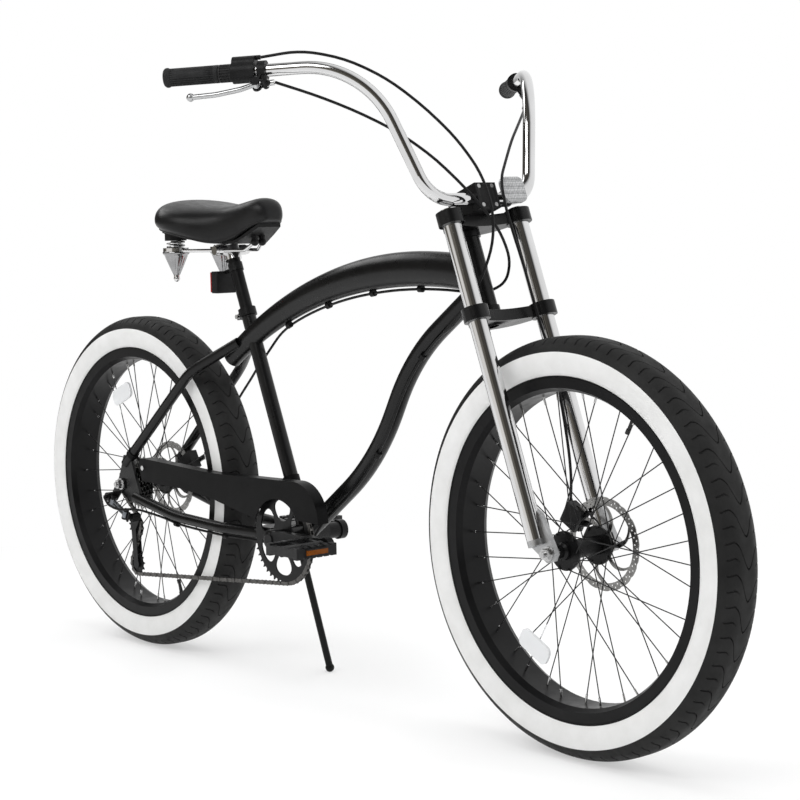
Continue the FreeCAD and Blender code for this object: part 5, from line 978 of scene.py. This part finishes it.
# Saddle cover: foam under black vinyl, pulled down over the pan and hemmed along its lower
# edge. It dips in the middle and rises again at the nose.
saddle_rear = -479.0
saddle_length = 300.0
saddle_half = 125.0
saddle_top = 948.2
saddle_stations = [(0.0, 0.36, 20.0, 46.0), (0.03, 0.56, 9.0, 55.0), (0.1, 0.77, 1.0, 61.0),
                   (0.2, 0.92, 2.5, 66.0), (0.3, 0.95, 7.0, 71.0), (0.42, 0.87, 12.0, 79.0),
                   (0.54, 0.69, 15.0, 89.0), (0.64, 0.54, 14.0, 90.0), (0.74, 0.43, 9.5, 82.0),
                   (0.82, 0.36, 5.0, 69.0), (0.9, 0.31, 2.0, 58.0), (0.96, 0.25, 6.0, 51.0),
                   (1.0, 0.15, 20.0, 44.0)]
saddle_section = [(0.45, 0.0), (0.76, 0.0), (0.86, 0.02), (0.9, 0.042), (0.905, 0.068), (0.893, 0.09),
                  (0.935, 0.13), (0.975, 0.2), (0.995, 0.3), (0.995, 0.42), (0.972, 0.55), (0.922, 0.67),
                  (0.84, 0.775), (0.715, 0.865), (0.53, 0.935), (0.28, 0.983)]
saddle_shares = [0.0, 0.008, 0.018, 0.03, 0.05, 0.075]
saddle_shares += [0.1 + 0.03 * step for step in range(28)]
saddle_shares += [0.935, 0.955, 0.975, 0.99, 1.0]
end_half = 0.8
end_top = 0.7
end_bottom = 0.8
channel_depth = 1.2
channel_start = 0.05
channel_end = 0.8
channel_half = 0.2
hem_rise = 8.0


def smooth_between(points, value):
    """Reading of a smooth line through points that run up in their first number."""
    last = len(points) - 1
    index = 0
    while index < last - 1 and value > points[index + 1][0]:
        index += 1
    x0, x1 = points[index][0], points[index + 1][0]
    y0, y1 = points[index][1], points[index + 1][1]
    before = points[max(index - 1, 0)]
    after = points[min(index + 2, last)]
    slope0 = (y1 - before[1]) / (x1 - before[0])
    slope1 = (after[1] - y0) / (after[0] - x0)
    span = x1 - x0
    t = (value - x0) / span
    return ((2 * t ** 3 - 3 * t ** 2 + 1) * y0 + (t ** 3 - 2 * t ** 2 + t) * span * slope0
            + (3 * t ** 2 - 2 * t ** 3) * y1 + (t ** 3 - t ** 2) * span * slope1)


widths = [(row[0], row[1]) for row in saddle_stations]
tops = [(row[0], row[2]) for row in saddle_stations]
bottoms = [(row[0], row[3]) for row in saddle_stations]
rings = []
for order, share in enumerate(saddle_shares):
    half = saddle_half * smooth_between(widths, share)
    top = saddle_top - smooth_between(tops, share)
    bottom = saddle_top - smooth_between(bottoms, share)
    if order in (0, len(saddle_shares) - 1):
        middle = (top + bottom) / 2
        half *= end_half
        top = middle + (top - middle) * end_top
        bottom = middle + (bottom - middle) * end_bottom
    sink = 0.0
    if channel_start < share < channel_end:
        along = (share - channel_start) / (channel_end - channel_start)
        sink = channel_depth * math.sin(math.pi * along)
    line = [(wide, bottom + (top - bottom) * tall) for wide, tall in saddle_section]
    ring = [(0.0, bottom)] + line + [(0.0, top)] + [(-wide, height) for wide, height in reversed(line)]
    x = saddle_rear + saddle_length * share
    points = []
    for wide, height in ring:
        low = sink * math.exp(-(wide / channel_half) ** 2) if height > bottom + hem_rise else 0.0
        points.append(Vector((x, wide * half, height - low)) * mm)
    rings.append(points)
saddle = skin("saddle_pad", rings)
smoother = saddle.modifiers.new("soft_form", "SUBSURF")
smoother.levels = 1
smoother.render_levels = 1
saddle_vinyl = finish("saddle_vinyl", (0.005, 0.005, 0.0052), (0.010, 0.010, 0.0104),
                      rough=(0.3, 0.4), patch=16.0, grain=620.0, relief=0.22, gloss_level=0.24)
saddle.data.materials.append(saddle_vinyl)
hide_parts("saddle_cover")
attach(saddle, "seat")


# Rear reflector: a black moulded box on a band round the seat post, with a red lens that
# faces back.
tail_red = (0.42, 0.012, 0.01)
tail_thick = 0.0039
tail_margin = Vector((0.01, 0.01, 0.01))
tail_edge = 0.0016
low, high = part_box("rear_reflector")
tail_high = Vector((low.x + tail_thick, high.y, high.z))
tail_lens = finish("rear_reflector_lens", (0.004, 0.004, 0.0043), (0.010, 0.010, 0.0104),
                   rough=(0.36, 0.5), patch=45.0, grain=1400.0, relief=0.1, gloss_level=0.2,
                   marks=[(inside_box(low - tail_margin, tail_high), tail_red, 0.0, 0.14)])
dress(tail_lens, "rear_reflector")
soften("rear_reflector", tail_edge)
